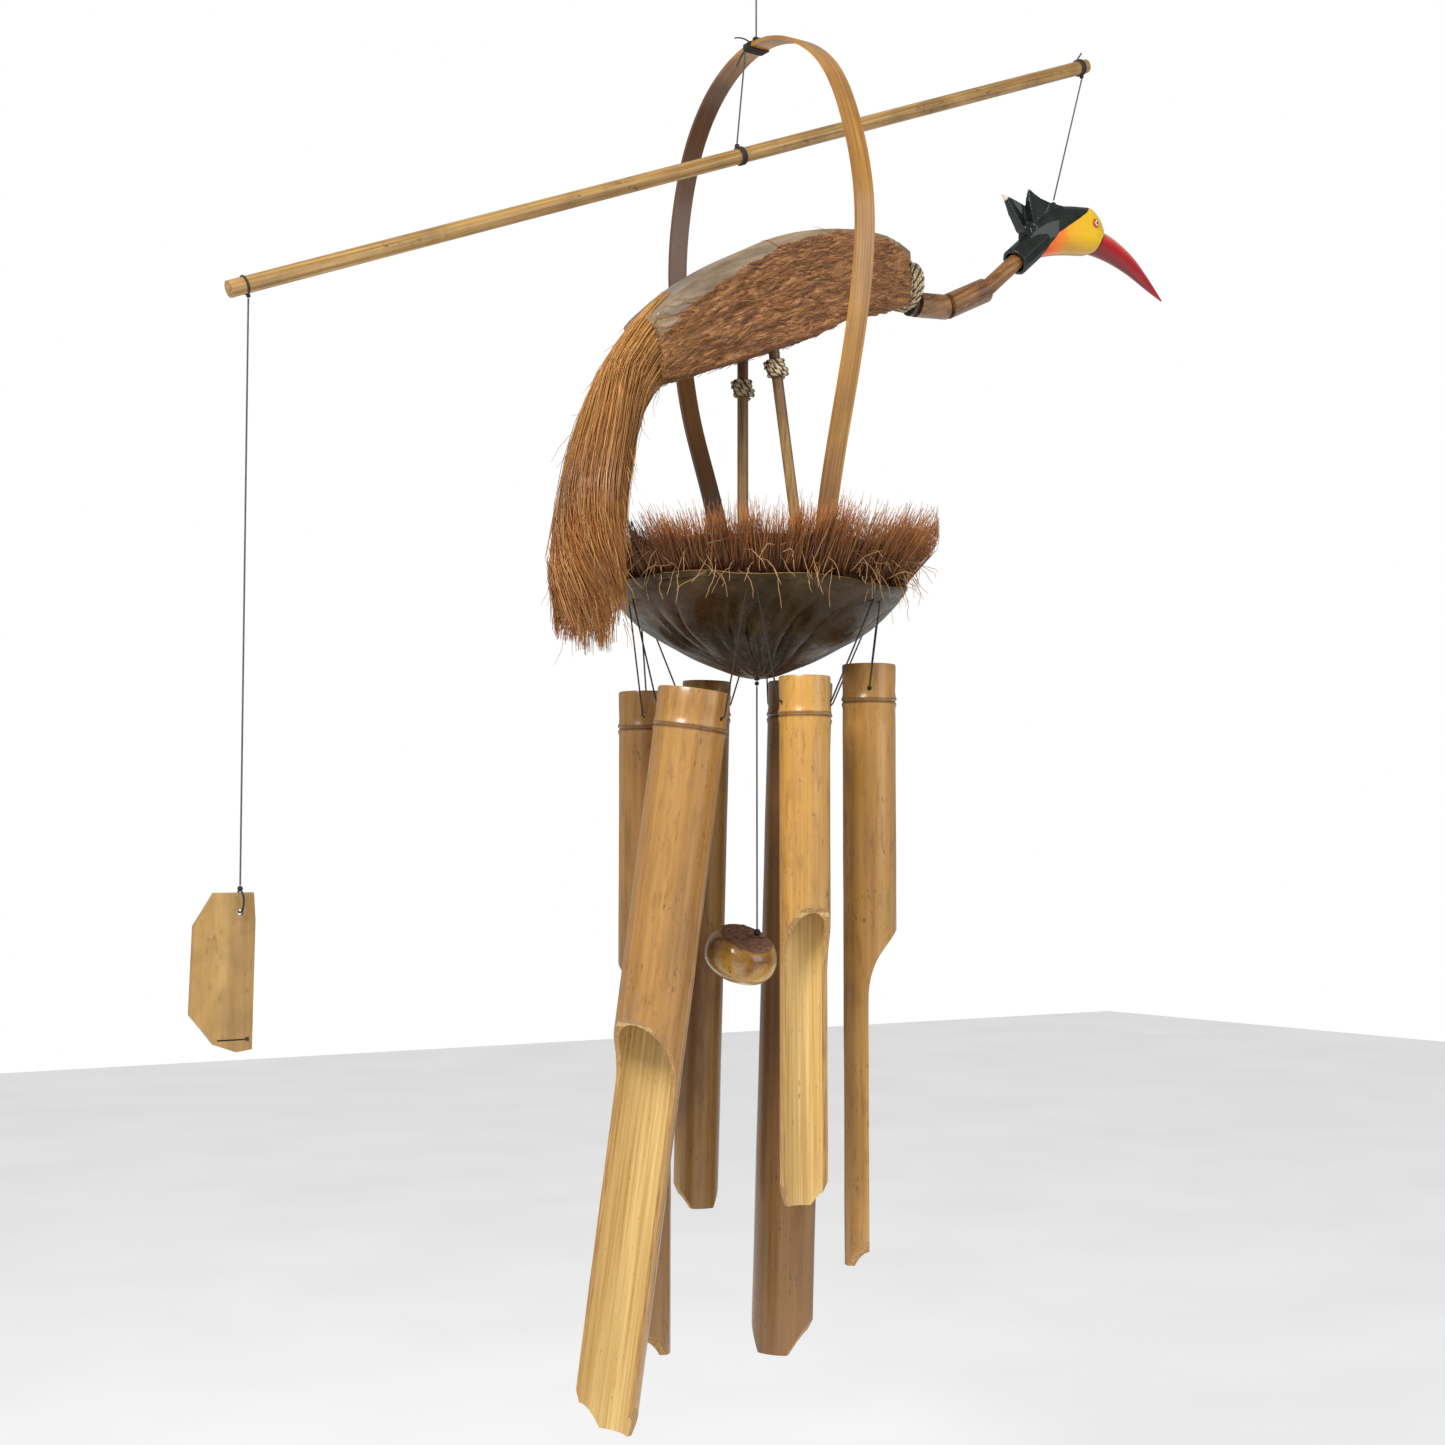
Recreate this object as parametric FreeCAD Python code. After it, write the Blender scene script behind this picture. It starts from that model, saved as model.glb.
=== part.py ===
import FreeCAD, Part
import math
import os

# Hanging bamboo wind chime with a nodding coconut-husk bird.  Units: mm.
# Origin: centre of the steel hanging ring.  +Z up, +X the way the bird faces, +Y its left.

V = FreeCAD.Vector
Z = V(0, 0, 1)

# ---- driving dimensions ----
RING_RADIUS = 9.0          # centre line of the steel ring
RING_WIRE = 2.2            # wire diameter
CORD = 1.2                 # thread diameter
HOOP_TOP = -53.0           # centre line of the bent strip at its top
HOOP_WIDTH = 15.0          # strip width, along X
HOOP_THICKNESS = 2.8
BEAM_LENGTH = 775.0
BEAM_DIAMETER = 11.0
BEAM_TILT = 22.0           # degrees, bird end up
BEAM_HANG = V(-14, 0, -135.7)   # beam centre under its thread
BEAM_LEFT_SHARE = 0.53     # part of the beam behind its thread
BOWL_RADIUS = 104.0
BOWL_DEPTH = 64.0
BOWL_RIM = -447.0          # height of the cut rim
BOWL_WALL = 5.0
LACING_HOLE = 4.4          # holes through the bowl wall for the chime threads
LACING_KNOT = 5.2          # stop knots inside the bowl
TIP_HOLE = 3.2             # hole at the bowl's lowest point
FRINGE_HEIGHT = 52.0
FRINGE_FLARE = 27.0
LEG_DIAMETER = 8.0
KNEE_TWINE = 3.8           # thickness of the twine bound round each leg
HUSK_WIDTH = 54.0
HUSK_NOSE = 30.0           # diameter of the husk's bound front end
WRAP_TWINE = 3.4
WRAP_TURNS = 5
NECK_DIAMETER = 19.0
NECK_BORE = 6.4
NECK_THIN = 13.0           # the segment that plugs into the head
THIN_BORE = 3.2
NECK_STRING = 3.0
PLUG_GAP = 1.2             # clearance round the thin segment where it seats
HEAD_WIDTH = 24.0
CUFF_DIAMETER = 23.0       # sleeve at the back of the head
EYE_DIAMETER = 7.2
NECK_GAP = 2.2             # half the gap between two segments
TUBE_WALL = 4.0
TUBE_NODE = 26.0           # node ring below the tube's top
TUBE_HOLE = 18.0           # cord holes below the tube's top
TUBE_HOLE_RADIUS = 1.7
RING_BULGE = 0.9           # how far a node ring stands out of its tube
CLAPPER_DIAMETER = 53.0
CLAPPER_DROP = 711.5       # disc centre below the ring
SAIL_THICKNESS = 3.5

TUBE_CIRCLE = 0.77 * BOWL_RADIUS
LACING_RADIUS = 0.96 * BOWL_RADIUS

# tube: bearing about Z, top height, length, diameter, mouth below the top, lean outward, lean sideways
TUBES = [
    (204, -528.0, 505, 50, 222, 4.0, -6.1),
    (144, -524.0, 466, 38, 190, 0.0, 0.0),
    (84, -511.0, 388, 36, 160, 0.6, 1.3),
    (32, -511.5, 492, 48, 215, -0.8, 1.4),
    (260, -519.0, 358, 35, 150, 0.0, 0.0),
    (324, -505.0, 422, 38, 185, 0.0, 0.0),
]

# neck pivots in the bird's middle plane
NECK_PIVOTS = [V(144.5, 0, -222), V(176, 0, -219.5), V(215, 0, -200.5), V(248.5, 0, -171.5)]


# ---- helpers ----
def rod(start, end, radius):
    axis = end - start
    return Part.makeCylinder(radius, axis.Length, start, axis)


def ball(centre, radius):
    return Part.makeSphere(radius, centre)


def loop(centre, axis, major, minor):
    return Part.makeTorus(major, minor, centre, axis)


def fuse(shapes):
    return shapes[0].fuse(shapes[1:]).removeSplitter()


def spline(points):
    curve = Part.BSplineCurve()
    curve.interpolate(points)
    return curve


def face_of(edges):
    return Part.Face(Part.Wire(edges))


def slab(face, centre, width):
    solid = face.extrude(V(0, width, 0))
    solid.translate(V(0, centre - width / 2, 0))
    return solid


def polygon(points):
    return Part.Face(Part.makePolygon(points + [points[0]]))


def cord(name, points, radius=CORD / 2, bend=None):
    """Straight runs joined by tangent arcs, swept with a round section."""
    edges = []
    here = points[0]
    radii = []
    for before, corner, after in zip(points, points[1:], points[2:]):
        back = (before - corner).normalize()
        on = (after - corner).normalize()
        half = (math.pi - back.getAngle(on)) / 2
        reach = 0.45 * min((before - corner).Length, (after - corner).Length)
        size = bend if bend else reach / math.tan(half)
        cut = size * math.tan(half)
        radii.append(round(size, 2))
        middle = (back + on).normalize()
        centre = corner + middle * (size / math.cos(half))
        start = corner + back * cut
        stop = corner + on * cut
        edges.append(Part.LineSegment(here, start).toShape())
        edges.append(Part.Arc(start, centre - middle * size, stop).toShape())
        here = stop
    edges.append(Part.LineSegment(here, points[-1]).toShape())
    path = Part.Wire(edges)
    section = Part.Wire(Part.makeCircle(radius, points[0], points[1] - points[0]))
    solid = path.makePipeShell([section], True, True)
    share = solid.Volume / (math.pi * radius * radius * path.Length)
    print(name, "length", round(path.Length, 1), "radii", radii, "volume share", round(share, 3))
    return solid


# ---- bowl surface ----
BOWL_SHAPE = [(0.0, 0.0), (0.14, 0.04), (0.33, 0.16), (0.53, 0.31), (0.72, 0.5), (0.93, 0.8), (1.0, 1.0)]


def bowl_points(radius, depth, bottom):
    return [V(share * radius, 0, bottom + rise * depth) for share, rise in BOWL_SHAPE]


BOWL_TIP = BOWL_RIM - BOWL_DEPTH


def bowl_height(radius):
    """Height of the bowl's outer surface at a radius."""
    share = radius / BOWL_RADIUS
    for (r0, h0), (r1, h1) in zip(BOWL_SHAPE, BOWL_SHAPE[1:]):
        if share <= r1:
            return BOWL_TIP + BOWL_DEPTH * (h0 + (h1 - h0) * (share - r0) / (r1 - r0))
    return BOWL_RIM


def around(radius, bearing, height):
    angle = math.radians(bearing)
    return V(radius * math.cos(angle), radius * math.sin(angle), height)


def lacing_holes():
    height = bowl_height(LACING_RADIUS)
    return [around(LACING_RADIUS, 54 + 60 * k, height) for k in range(6)]


def bowl_shell():
    outer = spline(bowl_points(BOWL_RADIUS, BOWL_DEPTH, BOWL_TIP)).toShape()
    inner_radius = BOWL_RADIUS - BOWL_WALL
    inner_depth = BOWL_DEPTH - BOWL_WALL * 1.15
    inner = spline(bowl_points(inner_radius, inner_depth, BOWL_RIM - inner_depth)).toShape()
    rim = Part.makeLine(V(BOWL_RADIUS, 0, BOWL_RIM), V(inner_radius, 0, BOWL_RIM))
    axis = Part.makeLine(V(0, 0, BOWL_RIM - inner_depth), V(0, 0, BOWL_TIP))
    shell = face_of([outer, rim, inner, axis]).revolve(V(0, 0, 0), Z, 360)
    shell = shell.cut(Part.makeCylinder(TIP_HOLE / 2, 40, V(0, 0, BOWL_TIP - 20)))
    for hole in lacing_holes():
        out = V(hole.x, hole.y, 0).normalize()
        drill = rod(hole + (out - Z) * 14, hole - (out - Z) * 14, LACING_HOLE / 2)
        shell = shell.cut(drill)
    return shell


def bowl_fringe():
    low = BOWL_RADIUS
    inside = BOWL_RADIUS - 15
    top = BOWL_RIM + FRINGE_HEIGHT
    points = [V(inside, 0, BOWL_RIM), V(low, 0, BOWL_RIM), V(low + FRINGE_FLARE, 0, top - 14)]
    points += [V(low + FRINGE_FLARE - 5, 0, top), V(low + 2, 0, top), V(inside, 0, BOWL_RIM + 20)]
    return polygon(points).revolve(V(0, 0, 0), Z, 360)


def bowl_lacing():
    """Knots inside the bowl, one behind each lacing hole, under the fringe's base."""
    knots = []
    for hole in lacing_holes():
        out = V(hole.x, hole.y, 0).normalize()
        knots.append(ball(hole - out * (BOWL_WALL + 1.8) + Z * 3.3, LACING_KNOT / 2))
    return Part.makeCompound(knots)


def floor_end(point, direction):
    """Where a stick running down meets the bowl's inside, plus a small seat."""
    step = V(point)
    while True:
        radius = math.hypot(step.x, step.y)
        if step.z <= bowl_height(radius) + BOWL_WALL * 0.85:
            return step
        step = step + direction * 0.5


# ---- hoop ----
HOOP_LEFT = [V(0, 61, -374), V(0, 88, -312), V(0, 105, -239), V(0, 108.7, -192), V(0, 102, -146),
             V(0, 85, -104), V(0, 51, -69)]
HOOP_RIGHT = [V(0, -55.5, -66.5), V(0, -87, -90), V(0, -115.6, -140), V(0, -130.5, -207),
              V(0, -128, -247), V(0, -114.5, -306), V(0, -97, -364)]


def hoop():
    left = floor_end(HOOP_LEFT[0], V(0, -0.12, -1).normalize())
    right = floor_end(HOOP_RIGHT[-1], V(0, 0.16, -1).normalize())
    points = [left] + HOOP_LEFT + [V(0, -8, HOOP_TOP)] + HOOP_RIGHT + [right]
    middle = spline(points)
    outer, inner = [], []
    for point in points:
        tangent = V(*middle.tangent(middle.parameter(point))[0])
        normal = tangent.cross(V(1, 0, 0)).normalize() * (HOOP_THICKNESS / 2)
        outer.append(point + normal)
        inner.append(point - normal)
    sides = [spline(outer).toShape(), Part.makeLine(outer[-1], inner[-1])]
    sides += [spline(inner).toShape(), Part.makeLine(inner[0], outer[0])]
    strip = face_of(sides).extrude(V(HOOP_WIDTH, 0, 0))
    strip.translate(V(-HOOP_WIDTH / 2, 0, 0))
    return strip


def hoop_lashing(strip):
    width = HOOP_WIDTH / 2 + 2.2
    block = Part.makeBox(2 * width, 9, 8.4, V(-width, -4.5, HOOP_TOP - 4.2))
    block = block.makeFillet(1.6, block.Edges)
    knot = ball(V(0, 0, HOOP_TOP + 5), 3.0)
    side = ball(V(-width, 0, HOOP_TOP - 3.5), 1.8)
    return fuse([block, knot, side]).cut(strip)


# ---- beam ----
def beam_axis():
    angle = math.radians(BEAM_TILT)
    return V(math.cos(angle), 0, math.sin(angle))


def beam_up():
    angle = math.radians(BEAM_TILT)
    return V(-math.sin(angle), 0, math.cos(angle))


BEAM_LEFT = BEAM_HANG - beam_axis() * (BEAM_LENGTH * BEAM_LEFT_SHARE)
BEAM_RIGHT = BEAM_LEFT + beam_axis() * BEAM_LENGTH
SAIL_POINT = BEAM_LEFT + beam_axis() * 11
TIP_POINT = BEAM_RIGHT - beam_axis() * 8
BEAM_PIVOT = BEAM_HANG + beam_up() * (BEAM_DIAMETER / 2 + 1.9)
SAIL_PIVOT = SAIL_POINT - beam_up() * (BEAM_DIAMETER / 2 + 1.3)
TIP_PIVOT = TIP_POINT - beam_up() * (BEAM_DIAMETER / 2 + 1.9)


def beam():
    stick = rod(BEAM_LEFT, BEAM_RIGHT, BEAM_DIAMETER / 2)
    groove = loop(SAIL_POINT, beam_axis(), BEAM_DIAMETER / 2 + 0.6, 1.2)
    return stick.cut(groove)


def beam_hitch(place, turns):
    """Turns of thread round the beam with a small knot."""
    rings = []
    for k in range(turns):
        shift = (k - (turns - 1) / 2) * 1.1
        rings.append(loop(place + beam_axis() * shift, beam_axis(), BEAM_DIAMETER / 2 + 0.65, 0.6))
    return rings


def beam_knot():
    return fuse(beam_hitch(BEAM_HANG, 4) + [ball(BEAM_PIVOT, 1.8)])


def beam_tip_knot():
    above = TIP_POINT + beam_up() * (BEAM_DIAMETER / 2 + 0.65)
    stray = rod(above, above + V(5, 0, 7), 0.6)
    return fuse(beam_hitch(TIP_POINT, 4) + [ball(TIP_PIVOT, 1.7), stray]).cut(beam())


def sail_loop():
    turn = loop(SAIL_POINT, beam_axis(), BEAM_DIAMETER / 2 + 0.4, 0.6)
    turn.rotate(SAIL_POINT, beam_axis(), 77)
    return fuse([turn, ball(SAIL_PIVOT, 1.4)])


# ---- sail ----
SAIL_TOP = -663.0


def sail():
    x = SAIL_PIVOT.x
    outline = [V(x - 17, 0, SAIL_TOP), V(x + 9.5, 0, SAIL_TOP), V(x + 11, 0, SAIL_TOP - 17)]
    outline += [V(x + 9.5, 0, SAIL_TOP - 96), V(x - 2, 0, SAIL_TOP - 97), V(x - 16, 0, SAIL_TOP - 92)]
    outline += [V(x - 29.5, 0, SAIL_TOP - 74), V(x - 28, 0, SAIL_TOP - 20)]
    slat = slab(polygon(outline), 0, 40)
    bow = 42.0
    centre = V(x - 9, bow - SAIL_THICKNESS / 2 - 1, SAIL_TOP - 120)
    curve = Part.makeCylinder(bow, 140, centre).cut(Part.makeCylinder(bow - SAIL_THICKNESS, 140, centre))
    hole = rod(V(x, -20, SAIL_TOP - 12), V(x, 20, SAIL_TOP - 12), 2.0)
    slit = Part.makeBox(20, 6, 1.0, V(x - 14, -3.5, SAIL_TOP - 90))
    return slat.common(curve).cut(hole).cut(slit)


def sail_knot():
    x = SAIL_PIVOT.x
    ring = loop(V(x, 0, SAIL_TOP - 5.5), V(1, 0, 0), 6.7, 0.6)
    return fuse([ring, ball(V(x, 0, SAIL_TOP + 2.4), 1.7)])


# ---- bird body ----
BACK = [V(-98, 0, -268), V(-65, 0, -238), V(-31, 0, -215), V(3, 0, -198), V(39, 0, -187),
        V(66, 0, -182), V(103, 0, -181), V(126, 0, -189)]
BELLY = [V(126, 0, -229), V(84, 0, -240), V(38, 0, -264), V(-14, 0, -285), V(-69, 0, -306), V(-90, 0, -312)]
WRAP_CENTRE = V(126, 0, -209)
WRAP_PITCH = WRAP_TWINE - 0.8
NOSE_END = WRAP_CENTRE.x + 2 + WRAP_PITCH * (WRAP_TURNS - 1) + WRAP_TWINE / 2 + 0.1


def body_block():
    top = spline(BACK).toShape()
    bottom = spline(BELLY).toShape()
    front = Part.makeLine(BACK[-1], BELLY[0])
    rear = Part.makeLine(BELLY[-1], BACK[0])
    block = slab(face_of([top, front, bottom, rear]), 0, HUSK_WIDTH)
    stretch = FreeCAD.Matrix()
    stretch.scale(190, HUSK_WIDTH * 0.53, 100)
    keep = ball(V(0, 0, 0), 1).transformGeometry(stretch)
    keep.rotate(V(0, 0, 0), V(0, 1, 0), -18)
    keep.translate(V(8, 0, -245))
    return block.common(keep)


def back_skin(block):
    lifted = [point + V(0.6, 0, -2.2) for point in BACK]
    band = [spline([p + V(-0.6, 0, 6) for p in BACK]).toShape(), spline(lifted).toShape()]
    ends = [Part.makeLine(BACK[0] + V(-0.6, 0, 6), lifted[0])]
    ends.append(Part.makeLine(BACK[-1] + V(-0.6, 0, 6), lifted[-1]))
    tool = slab(face_of([band[0], ends[1], band[1], ends[0]]), 0, HUSK_WIDTH * 2)
    return block.common(tool), block.cut(tool)


def leg_line(near):
    if near:
        return V(2.2, -15, -262), V(0.156, 0, -1).normalize()
    return V(-2, 15, -268), V(0, 0, -1)


def leg(near, husk):
    top, down = leg_line(near)
    foot = floor_end(top + down * 100, down)
    stick = rod(top, foot, LEG_DIAMETER / 2)
    return stick.cut(husk)


def knee_knot(near):
    top, down = leg_line(near)
    drop = 30 if near else 34
    place = top + down * drop
    radius = LEG_DIAMETER / 2
    turns = [loop(place + down * (3.0 * k), down, radius + 1.2, KNEE_TWINE / 2) for k in (-1.5, -0.5, 0.5, 1.5)]
    outer = fuse(turns)
    return outer.cut(rod(top, top + down * 120, radius))


def ring_across(place, direction, high, wide):
    """Ellipse square to a direction: high in the vertical plane, wide level."""
    across = Z.cross(direction).normalize()
    up = direction.cross(across).normalize()
    if wide > high:
        return Part.Wire(Part.Ellipse(place + across * wide, place + up * high, place).toShape())
    return Part.Wire(Part.Ellipse(place + up * high, place + across * wide, place).toShape())


def tail():
    """Coir bundle drooping from the husk's rear and out past the bowl."""
    stations = [(V(-86, 0, -284), 21, 21), (V(-117, -5, -322), 20, 19), (V(-142, -20, -376), 20, 22),
                (V(-157, -31, -436), 20, 25), (V(-156, -37, -500), 22, 33)]
    rings = []
    for k, (place, high, wide) in enumerate(stations):
        before = stations[max(k - 1, 0)][0]
        after = stations[min(k + 1, len(stations) - 1)][0]
        rings.append(ring_across(place, (after - before).normalize(), high, wide))
    return Part.makeLoft(rings, True)


def neck_wrap():
    """Turns of twine round the husk's front end."""
    middle = HUSK_NOSE / 2 + 1.8
    start = WRAP_CENTRE + V(2, 0, 0)
    turns = [loop(start + V(WRAP_PITCH * k, 0, 0), V(1, 0, 0), middle, WRAP_TWINE / 2) for k in range(WRAP_TURNS)]
    core = Part.makeCylinder(middle, WRAP_PITCH * (WRAP_TURNS - 1), start, V(1, 0, 0))
    hole = Part.makeCylinder(HUSK_NOSE / 2, 40, WRAP_CENTRE - V(5, 0, 0), V(1, 0, 0))
    return fuse([core] + turns).cut(hole)


def husk_stub():
    start = WRAP_CENTRE - V(4, 0, 0)
    return Part.makeCylinder(HUSK_NOSE / 2, NOSE_END - start.x, start, V(1, 0, 0))


# ---- neck and head ----
def unit(start, end):
    return (end - start).normalize()


NECK_AXES = [
    unit(V(146, 0, -222), V(173.8, 0, -220.3)),
    unit(NECK_PIVOTS[1], NECK_PIVOTS[2]),
    unit(NECK_PIVOTS[2], NECK_PIVOTS[3]),
]


def neck_collar():
    return Part.makeCylinder(NECK_DIAMETER / 2 - 0.3, 2.8, V(NOSE_END, 0, NECK_PIVOTS[0].z), V(1, 0, 0))


def beyond(place, direction):
    """Tool that removes everything past a plane."""
    return rod(place, place + direction * 70, 45)


def neck_segment(k):
    """Segments 1 and 2 are mitred to an even gap; segment 3 is thinner and sits in sockets."""
    axis = NECK_AXES[k]
    start = NECK_PIVOTS[k]
    end = NECK_PIVOTS[k + 1]
    if k == 2:
        body = rod(start - axis * 2.0, end + axis * 4, NECK_THIN / 2)
        return body.cut(rod(start - axis * 10, end + axis * 10, THIN_BORE / 2))
    mitre = (NECK_AXES[0] + NECK_AXES[1]).normalize()
    body = rod(start - axis * 12, end + axis * 12, NECK_DIAMETER / 2)
    body = body.cut(rod(start - axis * 20, end + axis * 20, NECK_BORE / 2))
    if k == 0:
        body = body.cut(beyond(start + V(NECK_GAP, 0, 0), V(-1, 0, 0)))
        return body.cut(beyond(end - mitre * NECK_GAP, mitre))
    body = body.cut(beyond(start + mitre * NECK_GAP, mitre * -1))
    body = body.cut(beyond(end - axis, axis))
    return body.cut(rod(end - axis * 7, end + axis * 4, NECK_THIN / 2 + PLUG_GAP))


def neck_cord(k):
    """Short length of the neck string showing in the first two gaps."""
    if k == 0:
        start = NECK_PIVOTS[0] - V(1.2, 0, 0)
        return rod(start, start + NECK_AXES[0] * 9, NECK_STRING / 2)
    pivot = NECK_PIVOTS[1]
    bead = ball(pivot, NECK_STRING * 0.8)
    return fuse([rod(pivot - NECK_AXES[0] * 8, pivot + NECK_AXES[0] * 3.6, NECK_STRING / 2), bead])


def head():
    pivot = NECK_PIVOTS[3]
    axis = NECK_AXES[2]
    top = [V(259, 0, -137), V(287, 0, -122.5), V(308, 0, -119.5), V(323, 0, -118)]
    front = [V(323, 0, -118), V(330, 0, -127), V(337, 0, -134.5)]
    chin = [V(325, 0, -154.5), V(296, 0, -158.5), V(273, 0, -166), V(262, 0, -172)]
    edges = [spline(top).toShape(), spline(front).toShape(), Part.makeLine(front[-1], chin[0])]
    edges += [spline(chin).toShape(), Part.makeLine(chin[-1], top[0])]
    block = slab(face_of(edges), 0, HEAD_WIDTH)
    long_sides = [e for e in block.Edges if abs(abs(e.CenterOfMass.y) - HEAD_WIDTH / 2) < 0.3]
    block = block.makeFillet(5.0, long_sides)
    sleeve = rod(pivot + axis * 1, pivot + axis * 27, CUFF_DIAMETER / 2)
    bore = rod(pivot - axis * 2, pivot + axis * 9, NECK_THIN / 2 + PLUG_GAP + 0.4)
    return fuse([block, sleeve]).cut(bore)


def crest(block):
    """Two spikes rising from the back of the head."""
    spikes = []
    for side, tip in ((-5, V(257, -8, -113)), (5, V(236, 7, -119.5))):
        low, high = V(258, side, -146), V(276, side, -130)
        half = V(0, 4, 0)
        base = [low - half, high - half, high + half, low + half]
        base_wire = Part.makePolygon(base + [base[0]])
        spikes.append(Part.makeLoft([base_wire, Part.Vertex(tip)], True, True).cut(block))
    return Part.makeCompound(spikes)


def beak():
    stations = [(V(328, 0, -143), 11.6, 9.6), (V(348, 0, -149.5), 9.3, 7.6), (V(368, 0, -157.6), 6.6, 5.2),
                (V(388, 0, -168.7), 3.6, 2.8), (V(405.5, 0, -181), 0.7, 0.6)]
    rings = []
    for k, (place, high, wide) in enumerate(stations):
        before = stations[max(k - 1, 0)][0]
        after = stations[min(k + 1, len(stations) - 1)][0]
        rings.append(ring_across(place, (after - before).normalize(), high, wide))
    face = unit(V(337, 0, -134.5), V(325, 0, -154.5)).cross(V(0, 1, 0)).normalize()
    return Part.makeLoft(rings, True, True).cut(beyond(V(331, 0, -144.5), face * -1))


def eye(side, block):
    disc = Part.makeCylinder(EYE_DIAMETER / 2, 2.4, V(326, side * (HEAD_WIDTH / 2 - 1.6), -130), V(0, side, 0))
    return disc.cut(block)


def head_cord_ends():
    top = TIP_PIVOT - V(0, 0, 2.2)
    return top, V(287.4, 0, -116.6)


# ---- clapper ----
def clapper():
    radius = CLAPPER_DIAMETER / 2
    side = [V(0, 0, -14.5), V(0.55 * radius, 0, -13), V(0.9 * radius, 0, -7.5), V(radius, 0, 0)]
    upper = [V(radius, 0, 0), V(0.92 * radius, 0, 8), V(0.7 * radius, 0, 12)]
    edges = [spline(side).toShape(), spline(upper).toShape()]
    edges.append(Part.makeLine(upper[-1], V(0, 0, 10.5)))
    edges.append(Part.makeLine(V(0, 0, 10.5), side[0]))
    disc = face_of(edges).revolve(V(0, 0, 0), Z, 360)
    disc.rotate(V(0, 0, 0), V(0.545, 0.839, 0), 19)
    disc.translate(V(-9.5, 6.2, -CLAPPER_DROP))
    return disc


def clapper_knot(disc):
    place = V(0, 0, -CLAPPER_DROP + 16)
    return ball(place, 2.6).cut(disc)


# ---- tubes ----
def place_tube(shape, spec):
    bearing, top, _, _, _, out, side = spec
    shape.rotate(V(0, 0, 0), V(0, 1, 0), -out)
    shape.rotate(V(0, 0, 0), V(1, 0, 0), side)
    shape.rotate(V(0, 0, 0), Z, bearing)
    shape.translate(around(TUBE_CIRCLE, bearing, top))
    return shape


def tube(spec):
    _, _, length, diameter, mouth, _, _ = spec
    r = diameter / 2.0
    body = Part.makeCylinder(r, length, V(0, 0, -length))
    ring = loop(V(0, 0, -TUBE_NODE), Z, r - 0.8, RING_BULGE + 0.8)
    body = fuse([body, ring])
    bore = Part.makeCylinder(r - TUBE_WALL, TUBE_NODE - 2, V(0, 0, -TUBE_NODE + 2))
    lower = Part.makeCylinder(r - TUBE_WALL, length, V(0, 0, -length - TUBE_NODE - 2))
    body = body.cut(bore).cut(lower)
    depth = -0.08 * r
    curve = Part.BezierCurve()
    curve.setPoles([V(r + 3, 0, -mouth + 2), V(0.35 * r, 0, -mouth - 2), V(depth, 0, -mouth - 18),
                    V(depth, 0, -mouth - 52)])
    corner = V(r + 3, 0, -length - 1)
    edges = [curve.toShape(), Part.makeLine(V(depth, 0, -mouth - 52), V(depth, 0, -length - 1))]
    edges += [Part.makeLine(V(depth, 0, -length - 1), corner), Part.makeLine(corner, V(r + 3, 0, -mouth + 2))]
    body = body.cut(slab(face_of(edges), 0, diameter + 10))
    for sign in (-1, 1):
        low = -length - 1
        wedge = [V(-r - 3, sign * (r + 1), low + 1.15 * r), V(-r - 3, sign * 0.45 * r, low),
                 V(-r - 3, sign * (r + 1), low)]
        body = body.cut(polygon(wedge).extrude(V(diameter + 8, 0, 0)))
    hole = rod(V(0, -r - 5, -TUBE_HOLE), V(0, r + 5, -TUBE_HOLE), TUBE_HOLE_RADIUS)
    return place_tube(body.cut(hole), spec)


def split_at_mouth(whole, spec):
    """The sounding length above the mouth, and the tongue below it."""
    _, _, length, _, mouth, _, _ = spec
    below = Part.makeBox(200, 200, length, V(-100, -100, -mouth + 2.5 - length))
    below = place_tube(below, spec)
    return whole.cut(below), whole.common(below)


def chime_cord(number, spec):
    bearing, _, _, diameter, _, _, _ = spec
    reach = diameter / 2.0 + 1.9
    corners = []
    for sign in (-1, 1):
        probe = Part.Vertex(V(0, sign * reach, -TUBE_HOLE))
        corners.append(place_tube(probe, spec).Point)
    holes = lacing_holes()
    ends = []
    for corner in corners:
        hole = min(holes, key=lambda h: (h - corner).Length)
        tangent = Z.cross(V(hole.x, hole.y, 0)).normalize()
        lean = 1 if (corner - hole).dot(tangent) > 0 else -1
        ends.append(hole + tangent * (LACING_HOLE / 2 * lean) + V(hole.x, hole.y, 0).normalize() * 1.2 - Z * 1.6)
    return cord("chime_cord_%d" % number, [ends[0], corners[0], corners[1], ends[1]], bend=1.4)


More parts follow.
